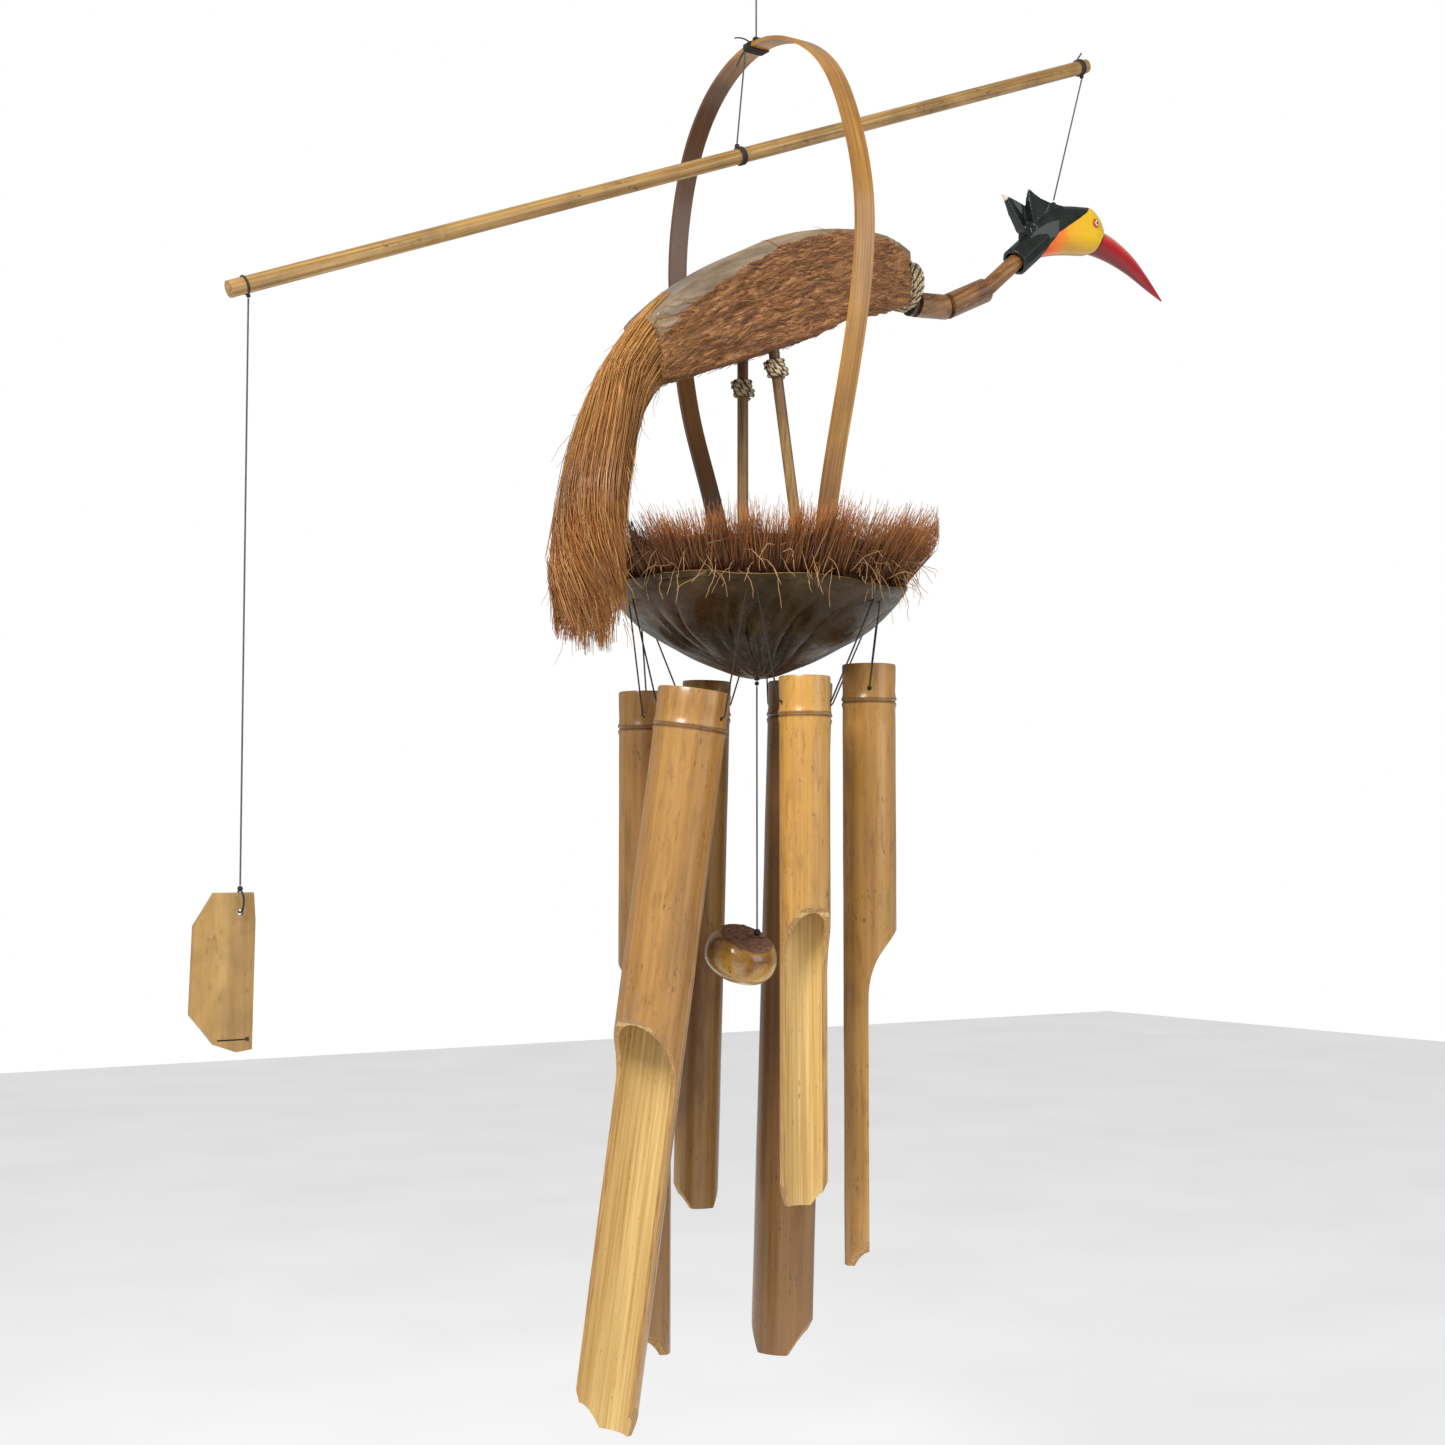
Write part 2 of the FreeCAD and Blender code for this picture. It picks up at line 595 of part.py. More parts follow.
# ---- assembly ----
def build():
    parts = {}
    parts["hanging_ring"] = loop(V(0, 0, 0), V(0, 1, 0), RING_RADIUS, RING_WIRE / 2)
    wire = V(0, 0, -RING_RADIUS)
    parts["ring_loop"] = fuse([loop(wire, V(1, 0, 0), 2.5, 0.6), ball(wire - V(0, 0, 3.8), 1.4)])
    parts["hanging_cord"] = cord("hanging_cord", [wire - V(0, 0, 5.2), V(0, 0, HOOP_TOP + 8.3)])
    strip = hoop()
    parts["hoop"] = strip
    parts["hoop_lashing"] = hoop_lashing(strip)
    parts["bowl_shell"] = bowl_shell()
    parts["bowl_fringe"] = bowl_fringe()
    parts["bowl_lacing"] = bowl_lacing()
    parts["tip_knot"] = ball(V(0, 0, BOWL_TIP - 2.6), 2.5)

    block = body_block()
    skin, husk = back_skin(block)
    husk = fuse([husk, husk_stub()]).cut(skin)
    parts["back_skin"] = skin
    for name, near in (("near", True), ("far", False)):
        parts["leg_" + name] = leg(near, husk)
        parts["knee_knot_" + name] = knee_knot(near)
    parts["body_husk"] = husk
    parts["tail"] = tail().cut(husk).cut(skin).cut(parts["bowl_fringe"])
    parts["neck_wrap"] = neck_wrap().cut(husk).cut(skin)
    parts["neck_collar"] = neck_collar()

    parts["beam"] = beam()
    parts["beam_knot"] = beam_knot()
    parts["beam_tip_knot"] = beam_tip_knot()
    parts["sail_loop"] = sail_loop().cut(parts["beam"])
    lashing_side = V(-HOOP_WIDTH / 2 - 2.2, 0, HOOP_TOP - 5.6)
    beam_top = BEAM_PIVOT + V(0, 0, 2.2)
    parts["beam_cord"] = cord("beam_cord", [lashing_side, beam_top])
    sail_top = SAIL_PIVOT - V(0, 0, 1.8)
    sail_end = V(SAIL_PIVOT.x, 0, SAIL_TOP + 4.4)
    parts["sail_cord"] = cord("sail_cord", [sail_top, sail_end])
    parts["sail"] = sail()
    parts["sail_knot"] = sail_knot().cut(parts["sail"])

    for k in range(3):
        parts["neck_segment_%d" % (k + 1)] = neck_segment(k)
    parts["neck_cord_1"] = neck_cord(0)
    parts["neck_cord_2"] = neck_cord(1)
    skull = head()
    parts["beak"] = beak()
    parts["head"] = skull
    parts["crest"] = crest(skull)
    parts["eye_left"] = eye(1, skull)
    parts["eye_right"] = eye(-1, skull)
    parts["crown_knot"] = ball(V(287, 0, -120.6), 2.4).cut(skull)
    parts["head_cord"] = cord("head_cord", list(head_cord_ends()))

    tip = V(0, 0, BOWL_TIP - 7.0)
    parts["clapper_loop"] = ball(tip, 1.6)
    disc = clapper()
    parts["clapper"] = disc
    parts["clapper_knot"] = clapper_knot(disc)
    cord_end = V(0, 0, -CLAPPER_DROP + 18.6)
    parts["clapper_cord"] = cord("clapper_cord", [tip - V(0, 0, 1.9), cord_end])

    for k, spec in enumerate(TUBES):
        parts["tube_%d" % (k + 1)] = tube(spec)
        if abs(spec[6]) > 3:
            # a tube that leans this much has no straight way down its bore past its own tongue
            parts["tube_%d" % (k + 1)], parts["tube_%d_tongue" % (k + 1)] = split_at_mouth(tube(spec), spec)
        parts["chime_cord_%d" % (k + 1)] = chime_cord(k + 1, spec)
    return parts


def main():
    for name, point in (("beam", BEAM_PIVOT), ("sail", SAIL_PIVOT), ("tip", TIP_PIVOT)):
        print("pivot", name, round(point.x, 2), round(point.z, 2))
    print("hinge radius", LACING_RADIUS * math.cos(math.radians(30)), "height", bowl_height(LACING_RADIUS))
    os.makedirs("parts", exist_ok=True)
    for name, shape in build().items():
        if not shape.isValid() or not shape.Solids:
            print("PROBLEM", name, shape.isValid(), len(shape.Solids))
        shape.exportStep("parts/%s.step" % name)
        box = shape.BoundBox
        print("%-16s %d solids %9.0f mm3  X %.0f..%.0f Y %.0f..%.0f Z %.0f..%.0f" % (
            name, len(shape.Solids), shape.Volume, box.XMin, box.XMax, box.YMin, box.YMax, box.ZMin, box.ZMax))


main()
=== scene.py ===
import math
import random

import bmesh
import bpy
from mathutils import Matrix, Vector, noise


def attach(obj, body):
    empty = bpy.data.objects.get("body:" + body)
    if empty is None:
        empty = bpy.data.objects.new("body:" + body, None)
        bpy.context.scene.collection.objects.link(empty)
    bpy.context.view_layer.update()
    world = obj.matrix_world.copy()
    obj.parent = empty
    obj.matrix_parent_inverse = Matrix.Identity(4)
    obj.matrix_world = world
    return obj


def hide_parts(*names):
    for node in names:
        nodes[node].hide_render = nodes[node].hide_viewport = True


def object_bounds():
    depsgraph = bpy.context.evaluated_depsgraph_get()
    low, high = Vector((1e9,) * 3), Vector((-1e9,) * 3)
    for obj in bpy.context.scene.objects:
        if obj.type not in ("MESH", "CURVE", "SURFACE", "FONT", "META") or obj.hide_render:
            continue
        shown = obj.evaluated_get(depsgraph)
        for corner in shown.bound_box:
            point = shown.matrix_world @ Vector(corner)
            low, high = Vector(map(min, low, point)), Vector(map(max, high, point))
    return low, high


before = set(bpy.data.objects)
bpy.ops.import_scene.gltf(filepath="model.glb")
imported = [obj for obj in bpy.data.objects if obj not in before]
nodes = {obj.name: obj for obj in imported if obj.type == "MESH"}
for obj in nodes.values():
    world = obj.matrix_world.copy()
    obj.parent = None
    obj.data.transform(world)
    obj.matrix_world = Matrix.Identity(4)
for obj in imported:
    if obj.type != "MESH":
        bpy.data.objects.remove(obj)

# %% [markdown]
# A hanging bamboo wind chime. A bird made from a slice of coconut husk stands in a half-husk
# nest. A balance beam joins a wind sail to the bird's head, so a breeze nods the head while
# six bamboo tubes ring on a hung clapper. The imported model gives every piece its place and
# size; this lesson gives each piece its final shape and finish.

cad_low, cad_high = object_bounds()
print("model box", [round(v, 3) for v in cad_low], [round(v, 3) for v in cad_high])
FACING = math.radians(33)      # the viewer stands this far round from straight on
MM = 0.001

# %% [markdown]
# The camera comes first, then the threads, because everything else is judged through them.
# The lens is a mild telephoto, a little below the nest and tipped up by a few degrees, which
# is how a person looks at a chime hung from a branch.

# %% Camera
view_right = Vector((math.cos(FACING), -math.sin(FACING), 0))
view_ahead = Vector((math.sin(FACING), math.cos(FACING), 0))
camera_data = bpy.data.cameras.new("camera")
camera_data.lens = 52.32
camera_data.sensor_width = 36
camera = bpy.data.objects.new("camera", camera_data)
bpy.context.collection.objects.link(camera)
camera.location = view_ahead * -1.5 + view_right * -0.0246 + Vector((0, 0, -0.637))
camera.rotation_euler = (math.radians(93.474), 0, -FACING)
bpy.context.scene.camera = camera
print("camera at", [round(v, 3) for v in camera.location])

# %% [markdown]
# Each thread is one smooth curve with a round section. It is a NURBS spline, because a thread
# has no corners: where it turns into a hole in a tube, a point shortly before and after the
# hole keeps the turn short. Every thread hangs taut under the weight of what it carries.

# %% Threads
THREAD = 0.0012


def thread(name, points, body, node):
    data = bpy.data.curves.new(name, "CURVE")
    data.dimensions = "3D"
    data.bevel_depth = THREAD / 2
    data.bevel_resolution = 2
    data.use_fill_caps = True
    data.resolution_u = 8
    spline = data.splines.new("NURBS")
    spline.points.add(len(points) - 1)
    for control, place in zip(spline.points, points):
        control.co = (*place, 1)
    spline.order_u = 3
    spline.use_endpoint_u = True
    line = bpy.data.objects.new(name, data)
    bpy.context.collection.objects.link(line)
    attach(line, body)
    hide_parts(node)
    return line


threads = {}
for name, body, start, end, length in (
    ("hanging_cord", "line", (0, 0, -0.0142), (0, 0, -0.0447), 0.0305),
    ("beam_cord", "beam_line", (-0.0097, 0, -0.0586), (-0.0168, 0, -0.1266), 0.0684),
    ("sail_cord", "sail_line", (-0.3821, 0, -0.2936), (-0.3821, 0, -0.6586), 0.365),
    ("head_cord", "head_line", (0.3191, 0, -0.0113), (0.2874, 0, -0.1166), 0.110),
    ("clapper_cord", "clapper_hang", (0, 0, -0.5199), (0, 0, -0.6929), 0.173),
):
    middle = [(a + b) / 2 for a, b in zip(start, end)]
    threads[name] = thread(name + "_line", [start, middle, end], body, name)

CHIME_ROUTES = [
    ((-0.1004, 0.0083, -0.4555), (-0.086, -0.0069, -0.543), (-0.0642, -0.0558, -0.5487), (-0.061, -0.0802, -0.4555)),
    ((-0.043, 0.0911, -0.4555), (-0.0525, 0.064, -0.542), (-0.0771, 0.0302, -0.542), (-0.1, 0.0127, -0.4555)),
    ((0.0574, 0.0828, -0.4555), (0.0278, 0.0778, -0.5294), (-0.0118, 0.082, -0.5285), (-0.039, 0.0929, -0.4555)),
    ((0.1004, -0.0083, -0.4555), (0.0812, 0.0207, -0.5301), (0.0537, 0.0646, -0.5289), (0.061, 0.0802, -0.4555)),
    ((-0.0574, -0.0828, -0.4555), (-0.033, -0.0755, -0.537), (0.0052, -0.0822, -0.537), (0.039, -0.0929, -0.4555)),
    ((0.043, -0.0911, -0.4555), (0.0525, -0.064, -0.523), (0.0771, -0.0302, -0.523), (0.1, -0.0127, -0.4555)),
]
HOLE_APPROACH = 6 * THREAD     # a point this far before and after each hole
for number, (top, in_hole, out_hole, back_top) in enumerate(CHIME_ROUTES, 1):
    a, b, c, d = (Vector(p) for p in (top, in_hole, out_hole, back_top))
    across = (c - b).normalized() * HOLE_APPROACH
    route = [a, b + (a - b).normalized() * HOLE_APPROACH, b, b + across,
             c - across, c, c + (d - c).normalized() * HOLE_APPROACH, d]
    length = (b - a).length + (c - b).length + (d - c).length - 0.004
    threads["chime_%d" % number] = thread("chime_cord_%d_line" % number, route, "chime_%d" % number,
                                          "chime_cord_%d" % number)
print(len(threads), "threads")

# %% [markdown]
# Bamboo, husk and stained wood share the same few effects: long streaks that follow the
# grain, soft clouds of colour, and short dark specks. Each effect is a node group, built once
# and placed in many materials with its own values. A group only hands out masks; the surface
# shader stays in each material, where its gloss can be set for that piece.

# %% Node helpers
def wire(tree, kind, inputs=(), **settings):
    """Adds a node, sets its options, and plugs or sets its inputs."""
    node = tree.nodes.new("ShaderNode" + kind)
    for key, value in settings.items():
        setattr(node, key, value)
    for key, value in dict(inputs).items():
        socket = node.inputs[key]
        if isinstance(value, bpy.types.NodeSocket):
            tree.links.new(value, socket)
        else:
            socket.default_value = value
    return node


def ramp(tree, source, stops):
    node = tree.nodes.new("ShaderNodeValToRGB")
    tree.links.new(source, node.inputs["Fac"])
    marks = node.color_ramp.elements
    while len(marks) < len(stops):
        marks.new(0.5)
    for mark, (place, colour) in zip(marks, stops):
        mark.position = place
        mark.color = (*colour, 1) if len(colour) == 3 else colour
    return node.outputs["Color"]


def level(tree, source, low, high, new_low=0.0, new_high=1.0):
    node = wire(tree, "MapRange", {"Value": source, "From Min": low, "From Max": high, "To Min": new_low,
                                   "To Max": new_high})
    return node.outputs["Result"]


def blend_colours(tree, factor, first, second, mode="MIX"):
    node = wire(tree, "Mix", data_type="RGBA", blend_type=mode)
    for socket, value in ((node.inputs[0], factor), (node.inputs[6], first), (node.inputs[7], second)):
        if isinstance(value, bpy.types.NodeSocket):
            tree.links.new(value, socket)
        elif isinstance(value, (int, float)):
            socket.default_value = value
        else:
            socket.default_value = (*value, 1)
    return node.outputs[2]


def new_group(name, inputs, outputs):
    group = bpy.data.node_groups.new(name, "ShaderNodeTree")
    for label, kind, value in inputs:
        socket = group.interface.new_socket(label, in_out="INPUT", socket_type=kind)
        if value is not None:
            socket.default_value = value
    for label in outputs:
        group.interface.new_socket(label, in_out="OUTPUT", socket_type="NodeSocketFloat")
    return group, group.nodes.new("NodeGroupInput").outputs, group.nodes.new("NodeGroupOutput").inputs

# %% [markdown]
# The streak effect stretches noise along Z. A coarse and a fine layer together look like the
# fibres of bamboo: the coarse one shifts the colour, the fine one roughens the surface.

# %% Effect: grain streaks
FLOAT, VECTOR = "NodeSocketFloat", "NodeSocketVector"
streak_group, given, result = new_group(
    "grain_streaks", [("Vector", VECTOR, None), ("Across", FLOAT, 220.0), ("Along", FLOAT, 6.0)], ["Streak", "Fine"])
stretch = wire(streak_group, "CombineXYZ", {"X": given["Across"], "Y": given["Across"], "Z": given["Along"]})
long_space = wire(streak_group, "VectorMath", {0: given["Vector"], 1: stretch.outputs[0]}, operation="MULTIPLY")
coarse = wire(streak_group, "TexNoise", {"Vector": long_space.outputs[0], "Scale": 1.0, "Detail": 5.0,
                                         "Roughness": 0.62})
fine = wire(streak_group, "TexNoise", {"Vector": long_space.outputs[0], "Scale": 4.3, "Detail": 3.0,
                                       "Roughness": 0.5})
streak_group.links.new(coarse.outputs["Fac"], result["Streak"])
streak_group.links.new(fine.outputs["Fac"], result["Fine"])

# %% [markdown]
# The mottle effect gives large soft clouds, and the dark specks and short dashes that mould
# leaves in bamboo skin before it is varnished. A dash is a speck stretched along the grain.

# %% Effect: clouds and specks
mottle_group, given, result = new_group(
    "clouds_and_specks", [("Vector", VECTOR, None), ("Cloud Size", FLOAT, 14.0), ("Speck Size", FLOAT, 300.0),
                          ("Speck Amount", FLOAT, 0.5)], ["Cloud", "Speck"])
cloud = wire(mottle_group, "TexNoise", {"Vector": given["Vector"], "Scale": given["Cloud Size"], "Detail": 4.0,
                                        "Roughness": 0.6, "Distortion": 0.4})
mottle_group.links.new(cloud.outputs["Fac"], result["Cloud"])
flat = wire(mottle_group, "VectorMath", {0: given["Vector"], 1: (1, 1, 0.38)}, operation="MULTIPLY")
spots = wire(mottle_group, "TexNoise", {"Vector": flat.outputs[0], "Scale": given["Speck Size"], "Detail": 2.0,
                                        "Roughness": 0.5})
patches = wire(mottle_group, "TexNoise", {"Vector": given["Vector"], "Scale": 46.0, "Detail": 3.0})
where = wire(mottle_group, "MapRange", {"Value": patches.outputs["Fac"], "From Min": 0.44, "From Max": 0.66})
dots = wire(mottle_group, "MapRange", {"Value": spots.outputs["Fac"], "From Min": 0.60, "From Max": 0.70})
both = wire(mottle_group, "Math", {0: dots.outputs[0], 1: where.outputs[0]}, operation="MULTIPLY")
amount = wire(mottle_group, "Math", {0: both.outputs[0], 1: given["Speck Amount"]}, operation="MULTIPLY")
mottle_group.links.new(amount.outputs[0], result["Speck"])

# %% [markdown]
# Every wooden finish below is one function: it turns the coordinates so that Z runs along the
# grain, mixes a dark and a light wood colour by streaks and clouds, then lays specks over it.
# A clear coat stands for varnish. Its strength is set on the shader, since it is even.

# %% Wood finish
def place_group(tree, group, inputs):
    node = tree.nodes.new("ShaderNodeGroup")
    node.node_tree = group
    for key, value in inputs.items():
        if isinstance(value, bpy.types.NodeSocket):
            tree.links.new(value, node.inputs[key])
        else:
            node.inputs[key].default_value = value
    return node.outputs


def start_material(name, turn=(0, 0, 0), shift=(0, 0, 0)):
    material = bpy.data.materials.new(name)
    material.use_nodes = True
    tree = material.node_tree
    tree.nodes.clear()
    place = wire(tree, "TexCoord").outputs["Object"]
    mapped = wire(tree, "Mapping", {"Vector": place, "Location": shift, "Rotation": turn})
    shader = wire(tree, "BsdfPrincipled")
    out = wire(tree, "OutputMaterial")
    tree.links.new(shader.outputs["BSDF"], out.inputs["Surface"])
    return material, tree, mapped.outputs["Vector"], shader


def bump(tree, shader, height, strength, depth):
    node = wire(tree, "Bump", {"Height": height, "Strength": strength, "Distance": depth})
    tree.links.new(node.outputs["Normal"], shader.inputs["Normal"])


def turn_to_z(direction):
    """Turn that lays a direction in the model along Z, for a pattern with grain along Z."""
    return tuple(Vector(direction).rotation_difference(Vector((0, 0, 1))).to_euler())


def wood(name, dark, light, speck=(0.1, 0.05, 0.02), grain=(0, 0, 1), across=220.0, along=6.0, cloud=14.0,
         cloud_mix=0.5, speck_size=300.0, speck_amount=0.6, rough=(0.35, 0.55), coat=0.25, relief=0.3, shift=(0, 0, 0),
         darkening=None):
    material, tree, space, shader = start_material(name, turn_to_z(grain), shift)
    streaks = place_group(tree, streak_group, {"Vector": space, "Across": across, "Along": along})
    mottle = place_group(tree, mottle_group, {"Vector": space, "Cloud Size": cloud, "Speck Size": speck_size,
                                              "Speck Amount": speck_amount})
    base = blend_colours(tree, level(tree, streaks["Streak"], 0.32, 0.68), dark, light)
    deep = [c * 0.55 for c in dark]
    clouded = blend_colours(tree, level(tree, mottle["Cloud"], 0.42, 0.72, 0.0, cloud_mix), base, deep)
    spotted = blend_colours(tree, mottle["Speck"], clouded, speck)
    # painted shade: the darkening option darkens one stretch of a piece, the side or part that lies in shade
    if darkening:                                     # a darker stretch: axis, where it starts and ends, colour, share
        axis, low, high, colour, share = darkening
        along_axis = wire(tree, "SeparateXYZ", {"Vector": wire(tree, "TexCoord").outputs["Object"]}).outputs[axis]
        ragged = wire(tree, "Math", {0: along_axis, 1: level(tree, mottle["Cloud"], 0.3, 0.7, -0.02, 0.02)},
                      operation="ADD").outputs[0]
        spotted = blend_colours(tree, level(tree, ragged, low, high, 0.0, share), spotted, colour)
    tree.links.new(spotted, shader.inputs["Base Color"])
    tree.links.new(level(tree, streaks["Fine"], 0.3, 0.7, *rough), shader.inputs["Roughness"])
    shader.inputs["Coat Weight"].default_value = coat
    shader.inputs["Coat Roughness"].default_value = 0.18
    bump(tree, shader, streaks["Fine"], relief, 0.0006)
    return material

# %% [markdown]
# Now the finishes, named for the pieces that wear them. The beam's grain runs along its own
# slope, and the hoop's grain is made by stretching noise in the plane of the hoop, so it
# follows the bend without any unwrapping.

# %% Finishes for the wooden pieces
BEAM_LINE = (math.cos(math.radians(22)), 0, math.sin(math.radians(22)))
finish = {}
# painted shade: the hoop turns dark brown towards its far side (Y above -0.012), where its inner face lies in shade
finish["hoop"] = wood("hoop_bamboo", (0.25, 0.100, 0.018), (0.56, 0.285, 0.055), grain=(1, 0, 0), across=9.0,
                      along=520.0, cloud=12.0, cloud_mix=0.5, speck_amount=0.3, rough=(0.26, 0.42), coat=0.45,
                      darkening=("Y", -0.012, 0.042, (0.060, 0.020, 0.007), 0.86))
finish["beam"] = wood("beam_bamboo", (0.200, 0.092, 0.020), (0.56, 0.345, 0.105), grain=BEAM_LINE, across=560.0,
                      along=7.0, cloud=22.0, cloud_mix=0.65, speck_amount=0.9, coat=0.35)
# painted shade: each leg darkens from Z -0.36 upwards, fully by the knee, for the shade under the body
finish["leg"] = wood("leg_bamboo", (0.19, 0.090, 0.022), (0.50, 0.300, 0.095), across=620.0, along=8.0, cloud=22.0,
                     cloud_mix=0.5, speck_amount=0.4, coat=0.25, darkening=("Z", -0.36, -0.29, (0.075, 0.030, 0.009), 0.8))
finish["neck"] = wood("neck_bamboo", (0.085, 0.028, 0.006), (0.37, 0.165, 0.042), grain=(0.86, 0, 0.5), across=420.0,
                      along=14.0, cloud=40.0, cloud_mix=0.7, speck_amount=0.6, speck=(0.45, 0.28, 0.14), coat=0.5,
                      rough=(0.25, 0.4))
finish["collar"] = wood("collar_dark", (0.015, 0.009, 0.006), (0.045, 0.025, 0.015), grain=(1, 0, 0), across=300.0)
finish["sail"] = wood("sail_bamboo", (0.36, 0.200, 0.058), (0.50, 0.305, 0.100), across=120.0, along=12.0, cloud=44.0,
                      cloud_mix=0.45, speck_amount=0.5, rough=(0.3, 0.5), coat=0.3)
finish["husk_skin"] = wood("husk_skin", (0.140, 0.088, 0.045), (0.40, 0.290, 0.175), grain=(0.92, 0, 0.38),
                           across=130.0, along=9.0, cloud=30.0, cloud_mix=0.7, speck_amount=0.7,
                           speck=(0.10, 0.055, 0.030), rough=(0.22, 0.42), coat=0.35, relief=0.2)
finish["thread"] = wood("dark_thread", (0.012, 0.009, 0.007), (0.05, 0.04, 0.03), across=2600.0, along=900.0,
                        speck_amount=0.0, rough=(0.6, 0.8), coat=0.0, relief=0.8)
finish["pale_thread"] = wood("pale_thread", (0.05, 0.045, 0.04), (0.17, 0.155, 0.14), across=2600.0, along=900.0,
                             speck_amount=0.0, rough=(0.5, 0.7), coat=0.0, relief=0.8)
print(len(finish), "finishes")

# %% [markdown]
# The hanging ring is the only metal. Full metallic on the shader makes its colour show in the
# reflections, and noise over its roughness leaves the faint marks of a drawn steel wire.

# %% Steel for the hanging ring
def steel():
    material, tree, space, shader = start_material("ring_steel")
    marks = wire(tree, "TexNoise", {"Vector": space, "Scale": 900.0, "Detail": 3.0})
    tree.links.new(ramp(tree, marks.outputs["Fac"], [(0.3, (0.35, 0.35, 0.36)), (0.7, (0.62, 0.62, 0.63))]),
                   shader.inputs["Base Color"])
    tree.links.new(level(tree, marks.outputs["Fac"], 0.3, 0.7, 0.22, 0.45), shader.inputs["Roughness"])
    shader.inputs["Metallic"].default_value = 1.0
    return material


finish["steel"] = steel()

# %% [markdown]
# The finishes go on now. The chime threads are dark and the others grey. A piece of the model
# that is good as it stands keeps its mesh, and only its material slot is filled again.

# %% Hand out the finishes
for name, line in threads.items():
    line.data.materials.append(finish["thread" if name.startswith("chime") else "pale_thread"])


def wear(node, key):
    """Gives a model node a finish in place of its plain slot."""
    slots = nodes[node].material_slots
    for slot in slots:
        slot.material = finish[key]
    if not slots:
        nodes[node].data.materials.append(finish[key])


for node, key in (("hanging_ring", "steel"), ("ring_loop", "pale_thread"), ("hoop", "hoop"), ("beam", "beam"),
                  ("hoop_lashing", "thread"), ("tip_knot", "thread"), ("beam_knot", "thread"), ("sail_loop", "thread"),
                  ("beam_tip_knot", "thread"), ("sail_knot", "thread"), ("clapper_loop", "thread"),
                  ("clapper_knot", "thread"), ("crown_knot", "thread"), ("bowl_lacing", "thread"),
                  ("neck_collar", "collar"), ("neck_cord_1", "collar"), ("neck_cord_2", "collar"),
                  ("leg_near", "leg"), ("leg_far", "leg"), ("neck_segment_1", "neck"), ("neck_segment_2", "neck"),
                  ("neck_segment_3", "neck"), ("sail", "sail"), ("back_skin", "husk_skin")):
    wear(node, key)

# %% [markdown]
# The tubes are bamboo culm, sawn just above a node. A node shows as two close ridges, a wider
# one where the sheath fell and a thinner one below. Each tube is drawn as one circle, extruded
# down through stations and scaled at each, so the culm narrows and swells as a grown stem does.
# Solidify then gives it a wall, and a shaped tool cuts the slanted mouth and pointed tip.

# %% Shared steps: selecting, applying and smoothing
def select_where(obj, test, mode="VERT"):
    """Selects a mesh's parts by place, in code, with everything else let go first."""
    bpy.ops.object.select_all(action="DESELECT")
    obj.select_set(True)
    bpy.context.view_layer.objects.active = obj
    bpy.ops.object.mode_set(mode="EDIT")
    bpy.ops.mesh.select_mode(type=mode)
    bpy.ops.mesh.select_all(action="DESELECT")
    mesh = bmesh.from_edit_mesh(obj.data)
    for part in {"VERT": mesh.verts, "EDGE": mesh.edges, "FACE": mesh.faces}[mode]:
        if test(part):
            part.select_set(True)
    mesh.select_flush_mode()
    bmesh.update_edit_mesh(obj.data)


def object_mode():
    bpy.ops.object.mode_set(mode="OBJECT")


def face_outwards(obj):
    """Turns every face of a closed mesh to look outwards."""
    select_where(obj, lambda face: True, "FACE")
    bpy.ops.mesh.normals_make_consistent(inside=False)
    object_mode()


def apply_modifier(obj, kind, **settings):
    bpy.ops.object.select_all(action="DESELECT")
    obj.select_set(True)
    bpy.context.view_layer.objects.active = obj
    step = obj.modifiers.new(kind, kind)
    for key, value in settings.items():
        setattr(step, key, value)
    bpy.ops.object.modifier_apply(modifier=step.name)


def smooth(obj, angle=40):
    bpy.ops.object.select_all(action="DESELECT")
    obj.select_set(True)
    bpy.context.view_layer.objects.active = obj
    bpy.ops.object.shade_smooth_by_angle(angle=math.radians(angle))

# %% [markdown]
# Two ways to start a mesh: from a list of points and faces, or from one circle that edit mode
# extrudes and scales station by station.

# %% Shared steps: starting a mesh
def mesh_object(name, points, faces):
    data = bpy.data.meshes.new(name)
    data.from_pydata([tuple(p) for p in points], [], faces)
    data.update()
    obj = bpy.data.objects.new(name, data)
    bpy.context.collection.objects.link(obj)
    return obj


def lathe_down(name, stations, sides=64):
    """One circle extruded down through (height, radius) stations."""
    bpy.ops.object.select_all(action="DESELECT")
    height, radius = stations[0]
    bpy.ops.mesh.primitive_circle_add(vertices=sides, radius=radius, location=(0, 0, height))
    obj = bpy.context.object
    obj.name = name
    bpy.ops.object.transform_apply(location=True)
    bpy.ops.object.mode_set(mode="EDIT")
    bpy.ops.mesh.select_mode(type="VERT")
    bpy.ops.mesh.select_all(action="SELECT")
    for z, r in stations[1:]:
        bpy.ops.mesh.extrude_region_move(TRANSFORM_OT_translate={"value": (0, 0, z - height)})
        bpy.ops.transform.resize(value=(r / radius, r / radius, 1), center_override=(0, 0, z))
        height, radius = z, r
    object_mode()
    return obj

# %% [markdown]
# The cutting tool follows the side view of the mouth: a short curve from the front of the tube
# to just past its middle, then straight down to the tip. Two wedges take the corners off the
# tip. The tool is drawn as an outline and extruded sideways.

# %% Tools that cut a tube
def curve_points(a, b, c, d, count=14):
    points = []
    for k in range(count + 1):
        t = k / count
        u = 1 - t
        points.append(tuple(u ** 3 * p + 3 * u * u * t * q + 3 * u * t * t * r + t ** 3 * s
                            for p, q, r, s in zip(a, b, c, d)))
    return points


